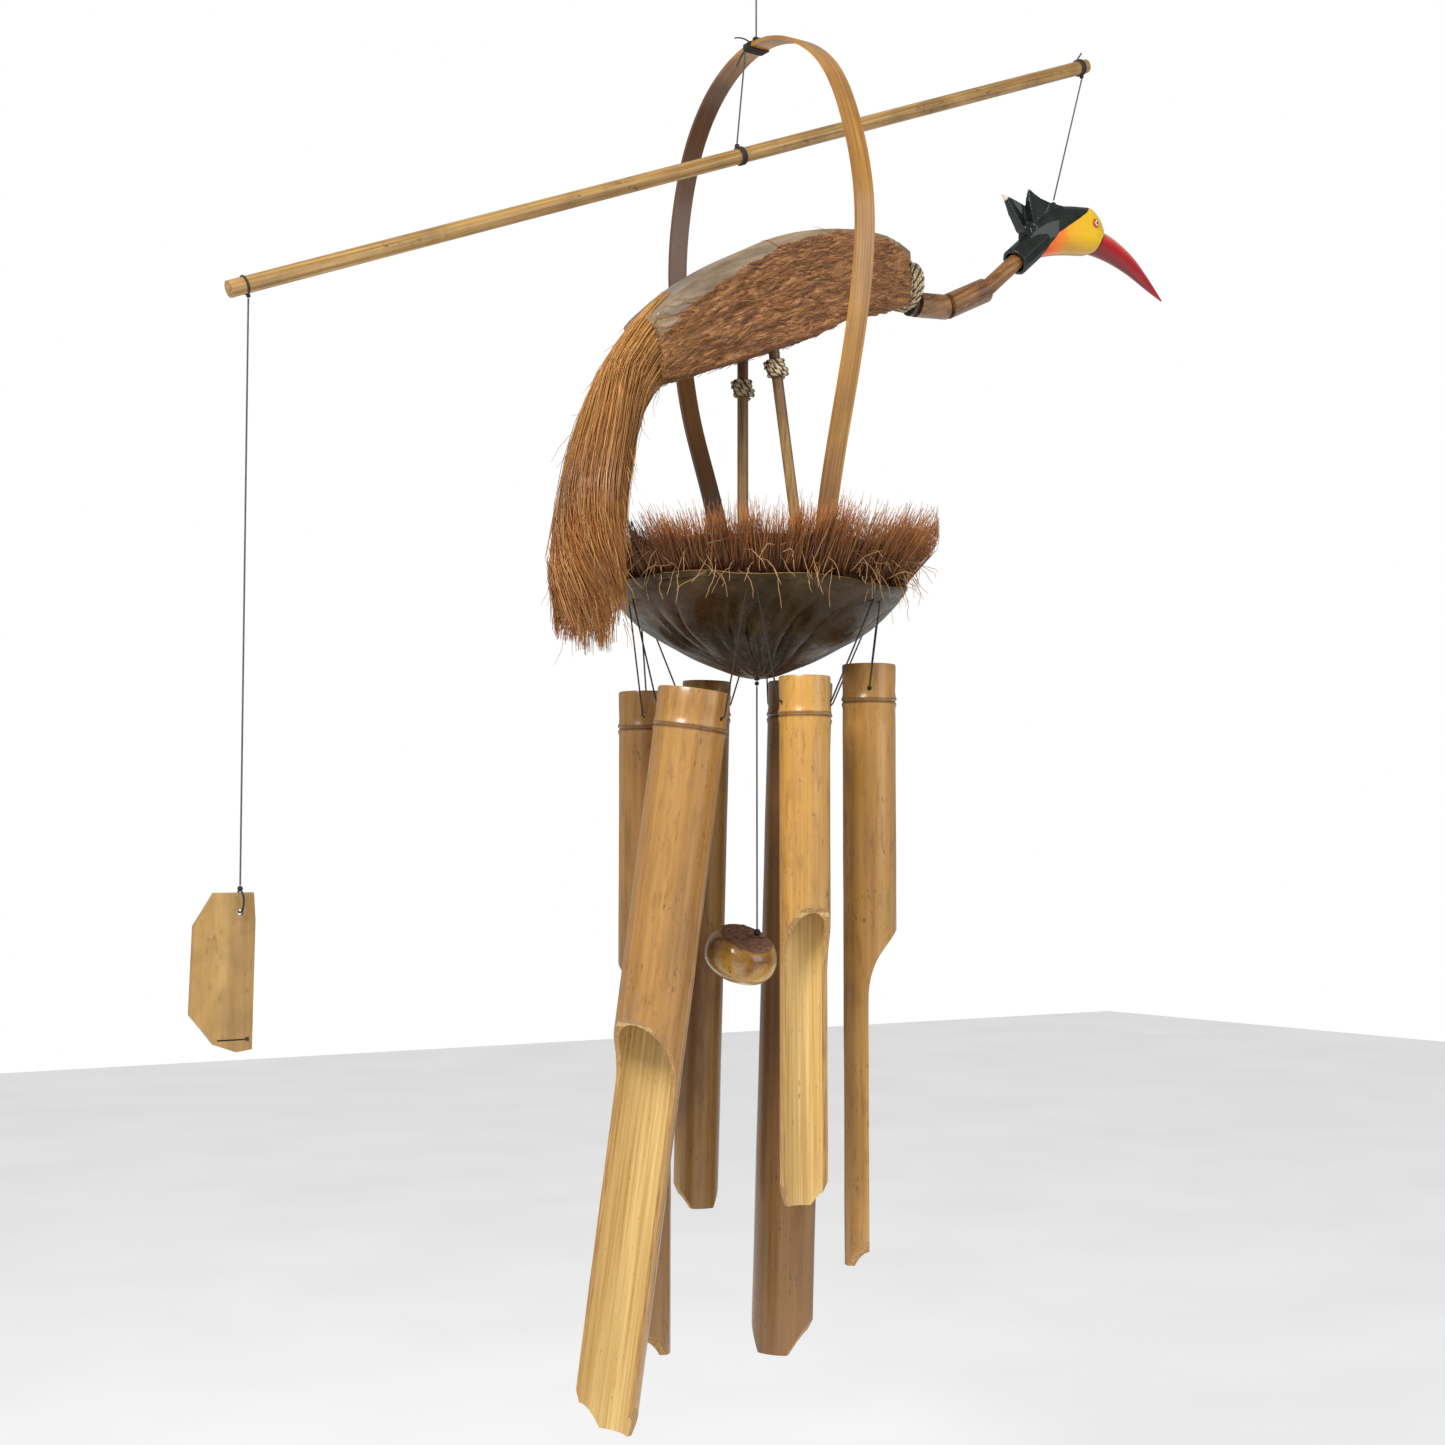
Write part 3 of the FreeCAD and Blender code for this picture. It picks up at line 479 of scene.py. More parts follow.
def prism(name, outline, axis, low, high):
    """An outline in the plane square to an axis, extruded along that axis."""
    if axis == "Y":
        points = [(x, low, z) for x, z in outline]
        shift = (0, high - low, 0)
    else:
        points = [(low, y, z) for y, z in outline]
        shift = (high - low, 0, 0)
    tool = mesh_object(name, points, [tuple(range(len(points)))])
    select_where(tool, lambda face: True, "FACE")
    bpy.ops.mesh.extrude_region_move(TRANSFORM_OT_translate={"value": shift})
    bpy.ops.mesh.select_all(action="SELECT")
    bpy.ops.mesh.normals_make_consistent(inside=False)
    object_mode()
    return tool


def cut_away(obj, tool):
    apply_modifier(obj, "BOOLEAN", operation="DIFFERENCE", object=tool, solver="EXACT")
    bpy.data.objects.remove(tool)

# %% [markdown]
# Tube finish: the skin is honey coloured with soft brown blotches, drawn out along the stem,
# and a few dark pin marks. The inside is the pale pith side of the wall, with fine fibres, and
# sawn faces show darker, because the cut ends of the fibres soak up varnish.

# %% Tube materials
def blotch(tree, space, scale, stretched, low, high):
    drawn = wire(tree, "VectorMath", {0: space, 1: stretched}, operation="MULTIPLY")
    dots = wire(tree, "TexNoise", {"Vector": drawn.outputs[0], "Scale": scale, "Detail": 3.0, "Roughness": 0.55})
    return level(tree, dots.outputs["Fac"], low, high)


def tube_skin(name, turn, shift, dark, light, darkening, gold):
    material, tree, space, shader = start_material(name, turn, shift)
    streaks = place_group(tree, streak_group, {"Vector": space, "Across": 150.0, "Along": 3.0})
    mottle = place_group(tree, mottle_group, {"Vector": space, "Cloud Size": 9.0, "Speck Size": 520.0,
                                              "Speck Amount": 0.75})
    base = blend_colours(tree, level(tree, streaks["Streak"], 0.30, 0.70), dark, light)
    wash = blend_colours(tree, level(tree, mottle["Cloud"], 0.44, 0.66, 0.0, 0.55), base, gold)
    soft = blotch(tree, space, 1.0, (210, 210, 44), 0.54, 0.72)
    spread = blend_colours(tree, wire(tree, "Math", {0: soft, 1: 0.55}, operation="MULTIPLY").outputs[0], wash,
                           (0.235, 0.105, 0.030))
    big = blotch(tree, space, 1.0, (34, 34, 7), 0.56, 0.70)
    stained = blend_colours(tree, wire(tree, "Math", {0: big, 1: darkening}, operation="MULTIPLY").outputs[0], spread,
                            (0.16, 0.075, 0.025))
    parts = wire(tree, "SeparateXYZ", {"Vector": space}).outputs["Z"]
    node_line = ramp(tree, level(tree, parts, -0.034, -0.020), [
        (0.0, (0, 0, 0)), (0.36, (0, 0, 0)), (0.44, (0.6, 0.6, 0.6)), (0.50, (1, 1, 1)), (0.56, (0.25, 0.25, 0.25)),
        (0.66, (0.75, 0.75, 0.75)), (0.72, (0, 0, 0))])
    ringed = blend_colours(tree, node_line, stained, (0.10, 0.045, 0.014))
    speckled = blend_colours(tree, mottle["Speck"], ringed, (0.09, 0.035, 0.012))
    tree.links.new(speckled, shader.inputs["Base Color"])
    tree.links.new(level(tree, streaks["Fine"], 0.3, 0.7, 0.30, 0.50), shader.inputs["Roughness"])
    shader.inputs["Coat Weight"].default_value = 0.45
    shader.inputs["Coat Roughness"].default_value = 0.16
    relief = wire(tree, "Math", {0: streaks["Fine"], 1: wire(tree, "Math", {0: mottle["Speck"], 1: -0.6},
                  operation="MULTIPLY").outputs[0]}, operation="ADD").outputs[0]
    bump(tree, shader, relief, 0.30, 0.0005)
    return material


def tube_inside(name, turn, shift):
    material, tree, space, shader = start_material(name, turn, shift)
    streaks = place_group(tree, streak_group, {"Vector": space, "Across": 420.0, "Along": 7.0})
    dots = blotch(tree, space, 420.0, (1, 1, 0.45), 0.66, 0.74)
    base = blend_colours(tree, level(tree, streaks["Streak"], 0.30, 0.72), (0.46, 0.265, 0.068), (0.80, 0.58, 0.24))
    speckled = blend_colours(tree, wire(tree, "Math", {0: dots, 1: 0.6}, operation="MULTIPLY").outputs[0], base,
                             (0.30, 0.16, 0.05))
    tree.links.new(speckled, shader.inputs["Base Color"])
    tree.links.new(level(tree, streaks["Fine"], 0.3, 0.7, 0.55, 0.75), shader.inputs["Roughness"])
    bump(tree, shader, streaks["Fine"], 0.4, 0.0005)
    return material


def sawn_edge(name, turn, shift):
    material, tree, space, shader = start_material(name, turn, shift)
    streaks = place_group(tree, streak_group, {"Vector": space, "Across": 900.0, "Along": 40.0})
    base = blend_colours(tree, level(tree, streaks["Streak"], 0.30, 0.70), (0.25, 0.11, 0.030), (0.56, 0.34, 0.11))
    tree.links.new(base, shader.inputs["Base Color"])
    tree.links.new(level(tree, streaks["Fine"], 0.3, 0.7, 0.5, 0.7), shader.inputs["Roughness"])
    bump(tree, shader, streaks["Streak"], 0.5, 0.0004)
    return material

# %% [markdown]
# Each row below is one tube: bearing round the chime, height of its top, length, diameter, how
# far down the mouth starts, how it leans outwards and sideways, its two wood colours, how
# stained it is and its gold. All six differ a little, as cut stems do.

# %% Sizes of the six tubes
TUBE_RING = 0.08008
NODE_DROP = 0.026
WALL = 0.004
TUBES = [
    (204, -0.528, 0.505, 0.050, 0.222, 4.0, -6.1,
     (0.26, 0.115, 0.026), (0.50, 0.270, 0.074), 0.40, (0.50, 0.245, 0.050)),
    (144, -0.524, 0.466, 0.038, 0.190, 0.0, 0.0,
     (0.20, 0.086, 0.020), (0.40, 0.205, 0.050), 0.85, (0.36, 0.17, 0.034)),
    (84, -0.511, 0.388, 0.036, 0.160, 0.6, 1.3,
     (0.18, 0.082, 0.018), (0.38, 0.205, 0.046), 0.95, (0.36, 0.19, 0.035)),
    (32, -0.5115, 0.492, 0.048, 0.215, -0.8, 1.4,
     (0.14, 0.060, 0.015), (0.30, 0.155, 0.040), 0.75, (0.26, 0.12, 0.026)),
    (260, -0.519, 0.358, 0.035, 0.150, 0.0, 0.0,
     (0.36, 0.170, 0.036), (0.62, 0.345, 0.088), 0.30, (0.68, 0.340, 0.050)),
    (324, -0.505, 0.422, 0.038, 0.185, 0.0, 0.0,
     (0.30, 0.140, 0.033), (0.54, 0.300, 0.082), 0.70, (0.56, 0.270, 0.042)),
]

# %% [markdown]
# A tube is built upright about its own axis. It is cut there, its faces are sorted into skin,
# pith and sawn edge, and only then is it moved to its place and lean.

# %% The making of one tube
def build_tube(number, row):
    """One culm from its row of values: turned, walled, cut, drilled, painted and placed."""
    bearing, top, length, diameter, mouth, out, side, dark, light, darkening, gold = row
    name = "tube_%d_culm" % number
    r = diameter / 2
    chance = random.Random(40 + number)
    # outline from the sawn top, over the node ridges, to the tip
    stations = [(0, r * 0.985), (-0.0012, r * 1.01), (-0.012, r * 1.0), (-NODE_DROP + 0.007, r * 0.985),
                (-NODE_DROP + 0.0035, r * 1.0), (-NODE_DROP + 0.0018, r + 0.0007), (-NODE_DROP + 0.0008, r + 0.0008),
                (-NODE_DROP - 0.0001, r - 0.0002), (-NODE_DROP - 0.0010, r - 0.0002), (-NODE_DROP - 0.0020, r + 0.0006),
                (-NODE_DROP - 0.0030, r + 0.0005), (-NODE_DROP - 0.0055, r - 0.0002)]
    z = -NODE_DROP - 0.02
    while z > -length + 0.02:
        stations.append((z, r * (0.985 + 0.012 * chance.random())))
        z -= 0.03
    stations.append((-length, r * 0.985))
    culm = lathe_down(name, stations)
    apply_modifier(culm, "SOLIDIFY", thickness=WALL, offset=-1)
    # slanted mouth, from the tool's side view
    depth = -0.08 * r
    outline = curve_points((r + 0.003, -mouth + 0.004), (0.80 * r, -mouth - 0.016), (depth, -mouth - 0.018),
                           (depth, -mouth - 0.054))
    outline += [(depth, -length - 0.002), (r + 0.006, -length - 0.002), (r + 0.006, -mouth + 0.002)]
    cut_away(culm, prism("mouth_tool", outline, "Y", -r - 0.005, r + 0.005))
    low = -length - 0.001
    for sign in (-1, 1):
        wedge = [(sign * (r + 0.001), low + 1.15 * r), (sign * 0.45 * r, low), (sign * (r + 0.004), low - 0.002),
                 (sign * (r + 0.004), low + 1.15 * r)]
        cut_away(culm, prism("tip_tool", wedge, "X", -r - 0.004, r + 0.004))
    # the two thread holes
    bpy.ops.mesh.primitive_cylinder_add(vertices=20, radius=0.0017, depth=2.6 * r, location=(0, 0, -0.018),
                                        rotation=(math.pi / 2, 0, 0))
    drill = bpy.context.object
    cut_away(culm, drill)
    # the stem's own wall across the node
    bpy.ops.mesh.primitive_cylinder_add(vertices=64, radius=r - WALL + 0.0004, depth=0.0036,
                                        location=(0, 0, -NODE_DROP))
    wall = bpy.context.object
    bpy.ops.object.transform_apply(location=True)
    bpy.ops.object.select_all(action="DESELECT")
    wall.select_set(True)
    culm.select_set(True)
    bpy.context.view_layer.objects.active = culm
    bpy.ops.object.join()
    # faces: skin outside, pith inside, sawn where cut
    place = (Matrix.Translation((TUBE_RING * math.cos(math.radians(bearing)),
                                 TUBE_RING * math.sin(math.radians(bearing)), top))
             @ Matrix.Rotation(math.radians(bearing), 4, "Z") @ Matrix.Rotation(math.radians(side), 4, "X")
             @ Matrix.Rotation(math.radians(-out), 4, "Y"))
    back = place.inverted()
    turn, shift = tuple(back.to_euler()), tuple(back.translation)
    for paint in (tube_skin("tube_skin_%d" % number, turn, shift, dark, light, darkening, gold),
                  tube_inside("tube_inside_%d" % number, turn, shift),
                  sawn_edge("tube_edge_%d" % number, turn, shift)):
        culm.data.materials.append(paint)
    for face in culm.data.polygons:
        centre = face.center
        flat = Vector((centre.x, centre.y, 0))
        facing = face.normal.dot(flat.normalized()) if flat.length > 1e-6 else 0
        if facing > 0.6 and flat.length > r - 0.0022:
            face.material_index = 0
        elif facing < -0.6 or flat.length < r - WALL - 0.0002:
            face.material_index = 1
        else:
            face.material_index = 2
    culm.data.transform(place)
    smooth(culm, 35)
    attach(culm, "chime_%d" % number)
    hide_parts(*[node for node in ("tube_%d" % number, "tube_%d_tongue" % number) if node in nodes])
    return culm


tubes = [build_tube(number, row) for number, row in enumerate(TUBES, 1)]
print("tubes", [len(t.data.polygons) for t in tubes])

# %% [markdown]
# Coir, the fibre of a coconut husk, makes the nest's fringe and the tail. No primitive gives
# thousands of separate bristles, so a small helper lays down thin three-sided strands along
# given paths and gathers them in one mesh. Each strand keeps two numbers in its UV map: its own
# mark, for a colour that differs from its neighbour's, and the height along it.

# %% Strand helper
class Strands:
    def __init__(self):
        self.points, self.faces, self.marks = [], [], []

    def add(self, path, radius, mark, sides=3, taper=0.35):
        base, last = len(self.points), len(path) - 1
        for k, place in enumerate(path):
            along = (path[min(k + 1, last)] - path[max(k - 1, 0)]).normalized()
            first = along.cross(Vector((0.31, 0.52, 0.80))).normalized()
            second = along.cross(first)
            size = radius * (1 - (1 - taper) * k / last)
            for s in range(sides):
                turn = 2 * math.pi * s / sides
                self.points.append(place + (first * math.cos(turn) + second * math.sin(turn)) * size)
                self.marks.append((mark, k / last))
        for k in range(last):
            for s in range(sides):
                i, j = base + k * sides + s, base + k * sides + (s + 1) % sides
                self.faces.append((i, j, j + sides, i + sides))
        self.faces.append(tuple(base + s for s in reversed(range(sides))))
        self.faces.append(tuple(base + last * sides + s for s in range(sides)))

    def finish(self, name, material):
        obj = mesh_object(name, self.points, self.faces)
        layer = obj.data.uv_layers.new(name="UVMap")
        flat = []
        for loop in obj.data.loops:
            flat.extend(self.marks[loop.vertex_index])
        layer.data.foreach_set("uv", flat)
        obj.data.shade_smooth()
        obj.data.materials.append(material)
        return obj


def fibre_finish(name, root, tip, pale, pale_share=0.3, shade=0.5, rough=0.5):
    """Colour runs from root to tip, some strands are paler and some darker."""
    material, tree, space, shader = start_material(name)
    uv = wire(tree, "SeparateXYZ", {"Vector": wire(tree, "UVMap").outputs["UV"]})
    chance = wire(tree, "TexWhiteNoise", {"W": uv.outputs["X"]}, noise_dimensions="1D").outputs["Value"]
    again = wire(tree, "TexWhiteNoise", {"W": wire(tree, "Math", {0: uv.outputs["X"], 1: 7.31}, operation="ADD")
                 .outputs[0]}, noise_dimensions="1D").outputs["Value"]
    clump = wire(tree, "TexNoise", {"Vector": space, "Scale": 55.0, "Detail": 2.0}).outputs["Fac"]
    base = blend_colours(tree, level(tree, uv.outputs["Y"], 0.05, 0.95), root, tip)
    light = blend_colours(tree, level(tree, chance, 1 - pale_share, 1.0, 0.0, 0.8), base, pale)
    dark = blend_colours(tree, level(tree, again, 0.45, 1.0, 0.0, shade), light, [c * 0.35 for c in root])
    patchy = blend_colours(tree, level(tree, clump, 0.45, 0.72, 0.0, 0.45), dark, [c * 0.55 for c in root])
    tree.links.new(patchy, shader.inputs["Base Color"])
    tree.links.new(level(tree, clump, 0.3, 0.7, rough - 0.08, rough + 0.12), shader.inputs["Roughness"])
    return material


def curve_along(points, t):
    """Smooth way through a list of values, t from 0 to 1."""
    t = min(max(t, 0.0), 1.0) * (len(points) - 1)
    k = min(int(t), len(points) - 2)
    f = t - k
    before, a, b, after = (points[max(k - 1, 0)], points[k], points[k + 1], points[min(k + 2, len(points) - 1)])
    return (a * 2 + (b - before) * f + (before * 2 - a * 5 + b * 4 - after) * (f * f)
            + (a * 3 - before - b * 3 + after) * (f * f * f)) * 0.5

# %% [markdown]
# The nest is the end of a coconut husk, skin side out. As the husk dries, its skin shrinks into
# long folds that meet at the tip, and it cracks along a wavy line at the cut rim. The shell is
# turned like a bowl first; then its points are pushed along those folds.

# %% The nest's shell
RIM, TIP, BOWL = -0.447, -0.511, 0.104
BOWL_SIDE = [Vector(p) for p in ((0.0, 0.0), (0.14, 0.04), (0.33, 0.16), (0.53, 0.31), (0.72, 0.5), (0.93, 0.8),
                                 (1.0, 1.0))]
folds = [(random.Random(5 + k).uniform(0, 2 * math.pi), random.Random(50 + k).uniform(0.05, 0.16),
          random.Random(90 + k).uniform(0.4, 1.0)) for k in range(26)]


def fold_depth(bearing):
    """How deep the folds are at a bearing, 0 to 1."""
    deep = 0.0
    for centre, width, size in folds:
        gap = abs((bearing - centre + math.pi) % (2 * math.pi) - math.pi)
        deep = max(deep, size * max(0.0, 1 - gap / width))
    return deep


def rim_drop(bearing):
    """The broken edge of the skin dips a few millimetres below the rim."""
    wave = noise.noise(Vector((math.cos(bearing) * 1.6, math.sin(bearing) * 1.6, 3.0)))
    fine = noise.noise(Vector((math.cos(bearing) * 7, math.sin(bearing) * 7, 9.0)))
    return max(0.0, 0.0030 + 0.0062 * wave + 0.0010 * fine)


stations = []
for k in range(30):
    t = 1 - k / 30
    shape = curve_along(BOWL_SIDE, t)
    stations.append((TIP + shape.y * (RIM - TIP), max(shape.x * BOWL, 0.0008)))
stations.insert(1, (stations[0][0] - 0.0016, stations[0][1] - 0.0004))
shell = lathe_down("nest_shell", stations, sides=180)
for vertex in shell.data.vertices:
    x, y, z = vertex.co
    reach = math.hypot(x, y)
    bearing = math.atan2(y, x)
    share = reach / BOWL
    twisted = bearing + 0.25 * math.sin(share * 3)
    inner = min(1.0, share * 4) * (1 - min(1.0, max(0.0, (share - 0.80) / 0.16)))
    lump = noise.noise(Vector((x, y, z)) * 38) * 0.0012 * (1 - max(0.0, (share - 0.85) / 0.15))
    push = inner * 0.0042 * fold_depth(twisted) + lump * min(1, share * 3)
    low = vertex.co.copy()
    low.x -= push * 0.55 * math.cos(bearing)
    low.y -= push * 0.55 * math.sin(bearing)
    low.z += push * 0.85
    if z > RIM - 0.006:
        low.z -= rim_drop(bearing)
    vertex.co = low
apply_modifier(shell, "SOLIDIFY", thickness=0.0042, offset=1)
face_outwards(shell)

# %% [markdown]
# Old husk skin is nearly black, with olive and red clouds and worn tan spots. Its low, warm
# specular keeps the sky from turning it grey. The cut rim shows the paler wood beneath.

# %% The nest's skin and cut edge
def nest_skin():
    material, tree, space, shader = start_material("nest_skin")
    cloud = wire(tree, "TexNoise", {"Vector": space, "Scale": 20.0, "Detail": 6.0, "Roughness": 0.65,
                                    "Distortion": 0.8})
    fine = wire(tree, "TexNoise", {"Vector": space, "Scale": 160.0, "Detail": 4.0, "Roughness": 0.6})
    warm = wire(tree, "TexNoise", {"Vector": space, "Scale": 11.0, "Detail": 3.0})
    base = ramp(tree, cloud.outputs["Fac"], [(0.30, (0.006, 0.004, 0.002)), (0.48, (0.020, 0.013, 0.005)),
                                            (0.62, (0.062, 0.043, 0.017)), (0.78, (0.150, 0.108, 0.044))])
    red = blend_colours(tree, level(tree, warm.outputs["Fac"], 0.50, 0.70, 0.0, 0.6), base, (0.060, 0.022, 0.009))
    patch = wire(tree, "TexVoronoi", {"Vector": space, "Scale": 26.0, "Randomness": 1.0})
    worn = blend_colours(tree, level(tree, patch.outputs["Distance"], 0.10, 0.04, 0.0, 0.5), red, (0.30, 0.21, 0.10))
    tree.links.new(worn, shader.inputs["Base Color"])
    tree.links.new(level(tree, fine.outputs["Fac"], 0.3, 0.7, 0.22, 0.45), shader.inputs["Roughness"])
    shader.inputs["Coat Weight"].default_value = 0.08
    shader.inputs["Coat Roughness"].default_value = 0.10
    shader.inputs["Specular IOR Level"].default_value = 0.25
    shader.inputs["Specular Tint"].default_value = (1.0, 0.62, 0.30, 1)
    bump(tree, shader, wire(tree, "Math", {0: cloud.outputs["Fac"], 1: wire(tree, "Math", {0: fine.outputs["Fac"],
         1: 0.25}, operation="MULTIPLY").outputs[0]}, operation="ADD").outputs[0], 0.55, 0.004)
    return material


finish["nest_edge"] = wood("nest_edge", (0.25, 0.125, 0.04), (0.52, 0.32, 0.12), across=420.0, along=180.0,
                           speck_amount=0.2, rough=(0.45, 0.65), coat=0.1)
shell.data.materials.append(nest_skin())
shell.data.materials.append(finish["nest_edge"])
for face in shell.data.polygons:
    reach = math.hypot(face.center.x, face.center.y)
    drop = RIM - rim_drop(math.atan2(face.center.y, face.center.x)) - face.center.z
    if reach > 0.094 and drop < 0.0022:
        face.material_index = 1
smooth(shell, 60)
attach(shell, "frame")
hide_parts("bowl_shell")
print("nest shell faces", len(shell.data.polygons))

# %% [markdown]
# The fringe is the husk's fibre brushed up and outwards from the rim. Bristles grow in tufts
# that share a lean, and each one bends a little off its tuft. A dark mat of short fibre lies
# under them and closes the gaps; its dark brown is painted shade for the crowded roots. A few long stray fibres droop
# over the edge.

# %% The coir fringe
finish["coir"] = fibre_finish("coir_bristle", (0.090, 0.024, 0.006), (0.44, 0.150, 0.030), (0.68, 0.34, 0.10),
                              pale_share=0.22, shade=0.75)
finish["coir_stray"] = fibre_finish("coir_stray", (0.34, 0.15, 0.05), (0.60, 0.34, 0.14), (0.72, 0.48, 0.24),
                                    pale_share=0.5, shade=0.3)
chance = random.Random(11)
bristles = Strands()
tufts = []
for k in range(420):
    tufts.append((chance.uniform(0, 2 * math.pi), chance.uniform(-0.20, 0.20), chance.uniform(-0.14, 0.14),
                  chance.uniform(0.86, 1.06)))
tufts.sort()
bearings = [t[0] for t in tufts]
RIGHT_SIDE = math.atan2(view_right.y, view_right.x)


def fringe_height(bearing):
    """The brush stands tallest on the bird's front side and lower towards its tail."""
    front = math.cos(bearing - RIGHT_SIDE)
    return 0.047 + 0.007 * front

# %% [markdown]
# Each bristle is a path of five points that starts between the rim's two faces. Outer bristles
# lean out more than inner ones, and none may pass the brush's widest circle.

# %% Bristles
BRISTLES = 8200
FRINGE_LIMIT = 0.131           # widest reach of a bristle from the axis
for k in range(BRISTLES):
    tuft = chance.choice(tufts)
    bearing = tuft[0] + chance.gauss(0, 0.020)
    depth = chance.random()                       # 0 at the outer face, 1 inside
    reach = 0.1035 - 0.0145 * depth
    out = Vector((math.cos(bearing), math.sin(bearing), 0))
    side = Vector((-out.y, out.x, 0))
    root = out * reach + Vector((0, 0, RIM - 0.006 + chance.uniform(0, 0.004)))
    lean = (1 - depth) * 0.62 + 0.03 + tuft[1] * 0.6 + chance.gauss(0, 0.07)
    slant = tuft[2] + chance.gauss(0, 0.09)
    height = fringe_height(bearing) * tuft[3] * chance.uniform(0.72, 1.04) * (1 - 0.25 * depth)
    bend = chance.gauss(0.12, 0.10)
    path = []
    for step in range(5):
        t = step / 4
        path.append(root + Vector((0, 0, height * t)) + out * (height * t * (lean + bend * t * 0.5))
                    + side * (height * t * (slant + 0.10 * t * math.sin(k))))
    top = RIM + 0.0535
    for place in path:
        place.z = min(place.z, top + chance.uniform(-0.003, 0))
        flat = math.hypot(place.x, place.y)
        if flat > FRINGE_LIMIT:
            place.x *= FRINGE_LIMIT / flat
            place.y *= FRINGE_LIMIT / flat
    bristles.add(path, 0.00038, k + chance.random())
fringe = bristles.finish("coir_fringe", finish["coir"])
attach(fringe, "frame")
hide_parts("bowl_fringe")

# %% [markdown]
# The mat is a turned ring with a felted surface, hidden in the roots of the brush. Without it
# the far side of the nest would show between the bristles. Its dark colour is painted shade, the shade among the
# crowded roots.

# %% The mat under the bristles
mat_rings = [(RIM + 0.006, 0.0905), (RIM + 0.014, 0.0955), (RIM + 0.022, 0.1035), (RIM + 0.018, 0.1085),
             (RIM + 0.004, 0.1045), (RIM - 0.006, 0.1015), (RIM - 0.012, 0.0985), (RIM - 0.013, 0.0955)]
mat = lathe_down("coir_mat", mat_rings, sides=200)
for vertex in mat.data.vertices:
    rough = noise.noise(vertex.co * 240) * 0.0014 + noise.noise(vertex.co * 90) * 0.0010
    vertex.co += Vector((vertex.co.x, vertex.co.y, 0)).normalized() * rough


def coir_mat():
    material, tree, space, shader = start_material("coir_mat")
    felt = wire(tree, "TexNoise", {"Vector": space, "Scale": 420.0, "Detail": 6.0, "Roughness": 0.7, "Distortion": 1.5})
    # painted shade: the felt is kept dark for the shade among the bristle roots
    tree.links.new(ramp(tree, felt.outputs["Fac"], [(0.35, (0.022, 0.007, 0.002)), (0.55, (0.085, 0.028, 0.008)),
                                                   (0.75, (0.24, 0.095, 0.028))]), shader.inputs["Base Color"])
    tree.links.new(level(tree, felt.outputs["Fac"], 0.3, 0.7, 0.7, 0.9), shader.inputs["Roughness"])
    bump(tree, shader, felt.outputs["Fac"], 0.9, 0.002)
    return material


finish["mat"] = coir_mat()
mat.data.materials.append(finish["mat"])
face_outwards(mat)
mat.data.shade_smooth()
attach(mat, "frame")
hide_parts("bowl_fringe")

# %% [markdown]
# Stray fibres escape over the nest's edge. Each one takes small random turns and sags a little
# more at every step, which gives the loose curls of real coir.

# %% Stray fibres over the nest's edge
STRAYS = 150
STRAY_LIMIT = 0.132


def wander(start, heading, length, droop, chance, curl=0.5, steps=9):
    """A loose fibre that sets off one way, sags and wanders."""
    path = [start.copy()]
    way = heading.normalized()
    for step in range(steps):
        way = (way + Vector((chance.gauss(0, 1), chance.gauss(0, 1), chance.gauss(0, 1))) * (curl / steps)
               + Vector((0, 0, -droop / steps))).normalized()
        path.append(path[-1] + way * (length / steps))
    return path


strays = Strands()
for k in range(STRAYS):
    bearing = chance.uniform(0, 2 * math.pi)
    if k < 90:                                   # most hang on the viewer's side
        bearing = math.atan2(-view_ahead.y, -view_ahead.x) + chance.uniform(-1.3, 1.5)
    out = Vector((math.cos(bearing), math.sin(bearing), 0))
    side = Vector((-out.y, out.x, 0))
    start = out * 0.1045 + Vector((0, 0, RIM + chance.uniform(-0.004, 0.018)))
    heading = out * 0.7 + side * chance.uniform(-1.4, 1.4) + Vector((0, 0, chance.uniform(-0.5, 0.5)))
    path = wander(start, heading, chance.uniform(0.014, 0.040), chance.uniform(0.4, 2.4), chance, 1.7)
    for place in path:
        flat = math.hypot(place.x, place.y)
        if flat > STRAY_LIMIT:
            place.x *= STRAY_LIMIT / flat
            place.y *= STRAY_LIMIT / flat
    strays.add(path, 0.00036, k * 1.7, taper=0.5)
stray = strays.finish("coir_strays", finish["coir_stray"])
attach(stray, "frame")
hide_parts("bowl_fringe")
print("fringe faces", len(fringe.data.polygons), "mat", len(mat.data.polygons), "strays", len(stray.data.polygons))

# %% [markdown]
# The tail is the long fibre of the same husk slice, left on and combed down. Strands leave the
# husk's rear together and gather into ragged locks near the bottom. Their way is a smooth line
# through the tail's middle, each strand keeping its own place across it.

# %% The tail
TAIL_LINE = [Vector(p) * MM for p in ((-62, 0, -262), (-86, 0, -284), (-117, -5, -322), (-142, -20, -376),
                                      (-157, -31, -436), (-157, -37, -506))]
TAIL_HIGH = [0.024, 0.022, 0.020, 0.020, 0.020, 0.022]
TAIL_WIDE = [0.021, 0.021, 0.019, 0.022, 0.025, 0.033]
finish["tail"] = fibre_finish("tail_coir", (0.66, 0.315, 0.080), (0.40, 0.130, 0.026), (0.90, 0.56, 0.21),
                              pale_share=0.32, shade=0.80, rough=0.42)
chance = random.Random(23)


def tail_frame(t):
    place = curve_along(TAIL_LINE, t)
    along = (curve_along(TAIL_LINE, t + 0.02) - curve_along(TAIL_LINE, t - 0.02)).normalized()
    across = Vector((0, 0, 1)).cross(along).normalized()
    return place, along, across, along.cross(across).normalized()

# %% [markdown]
# The strands share 85 locks. Near the bottom each strand is pulled towards the middle of its
# own lock, so the end breaks up into points. A few short wisps stick out along the way.

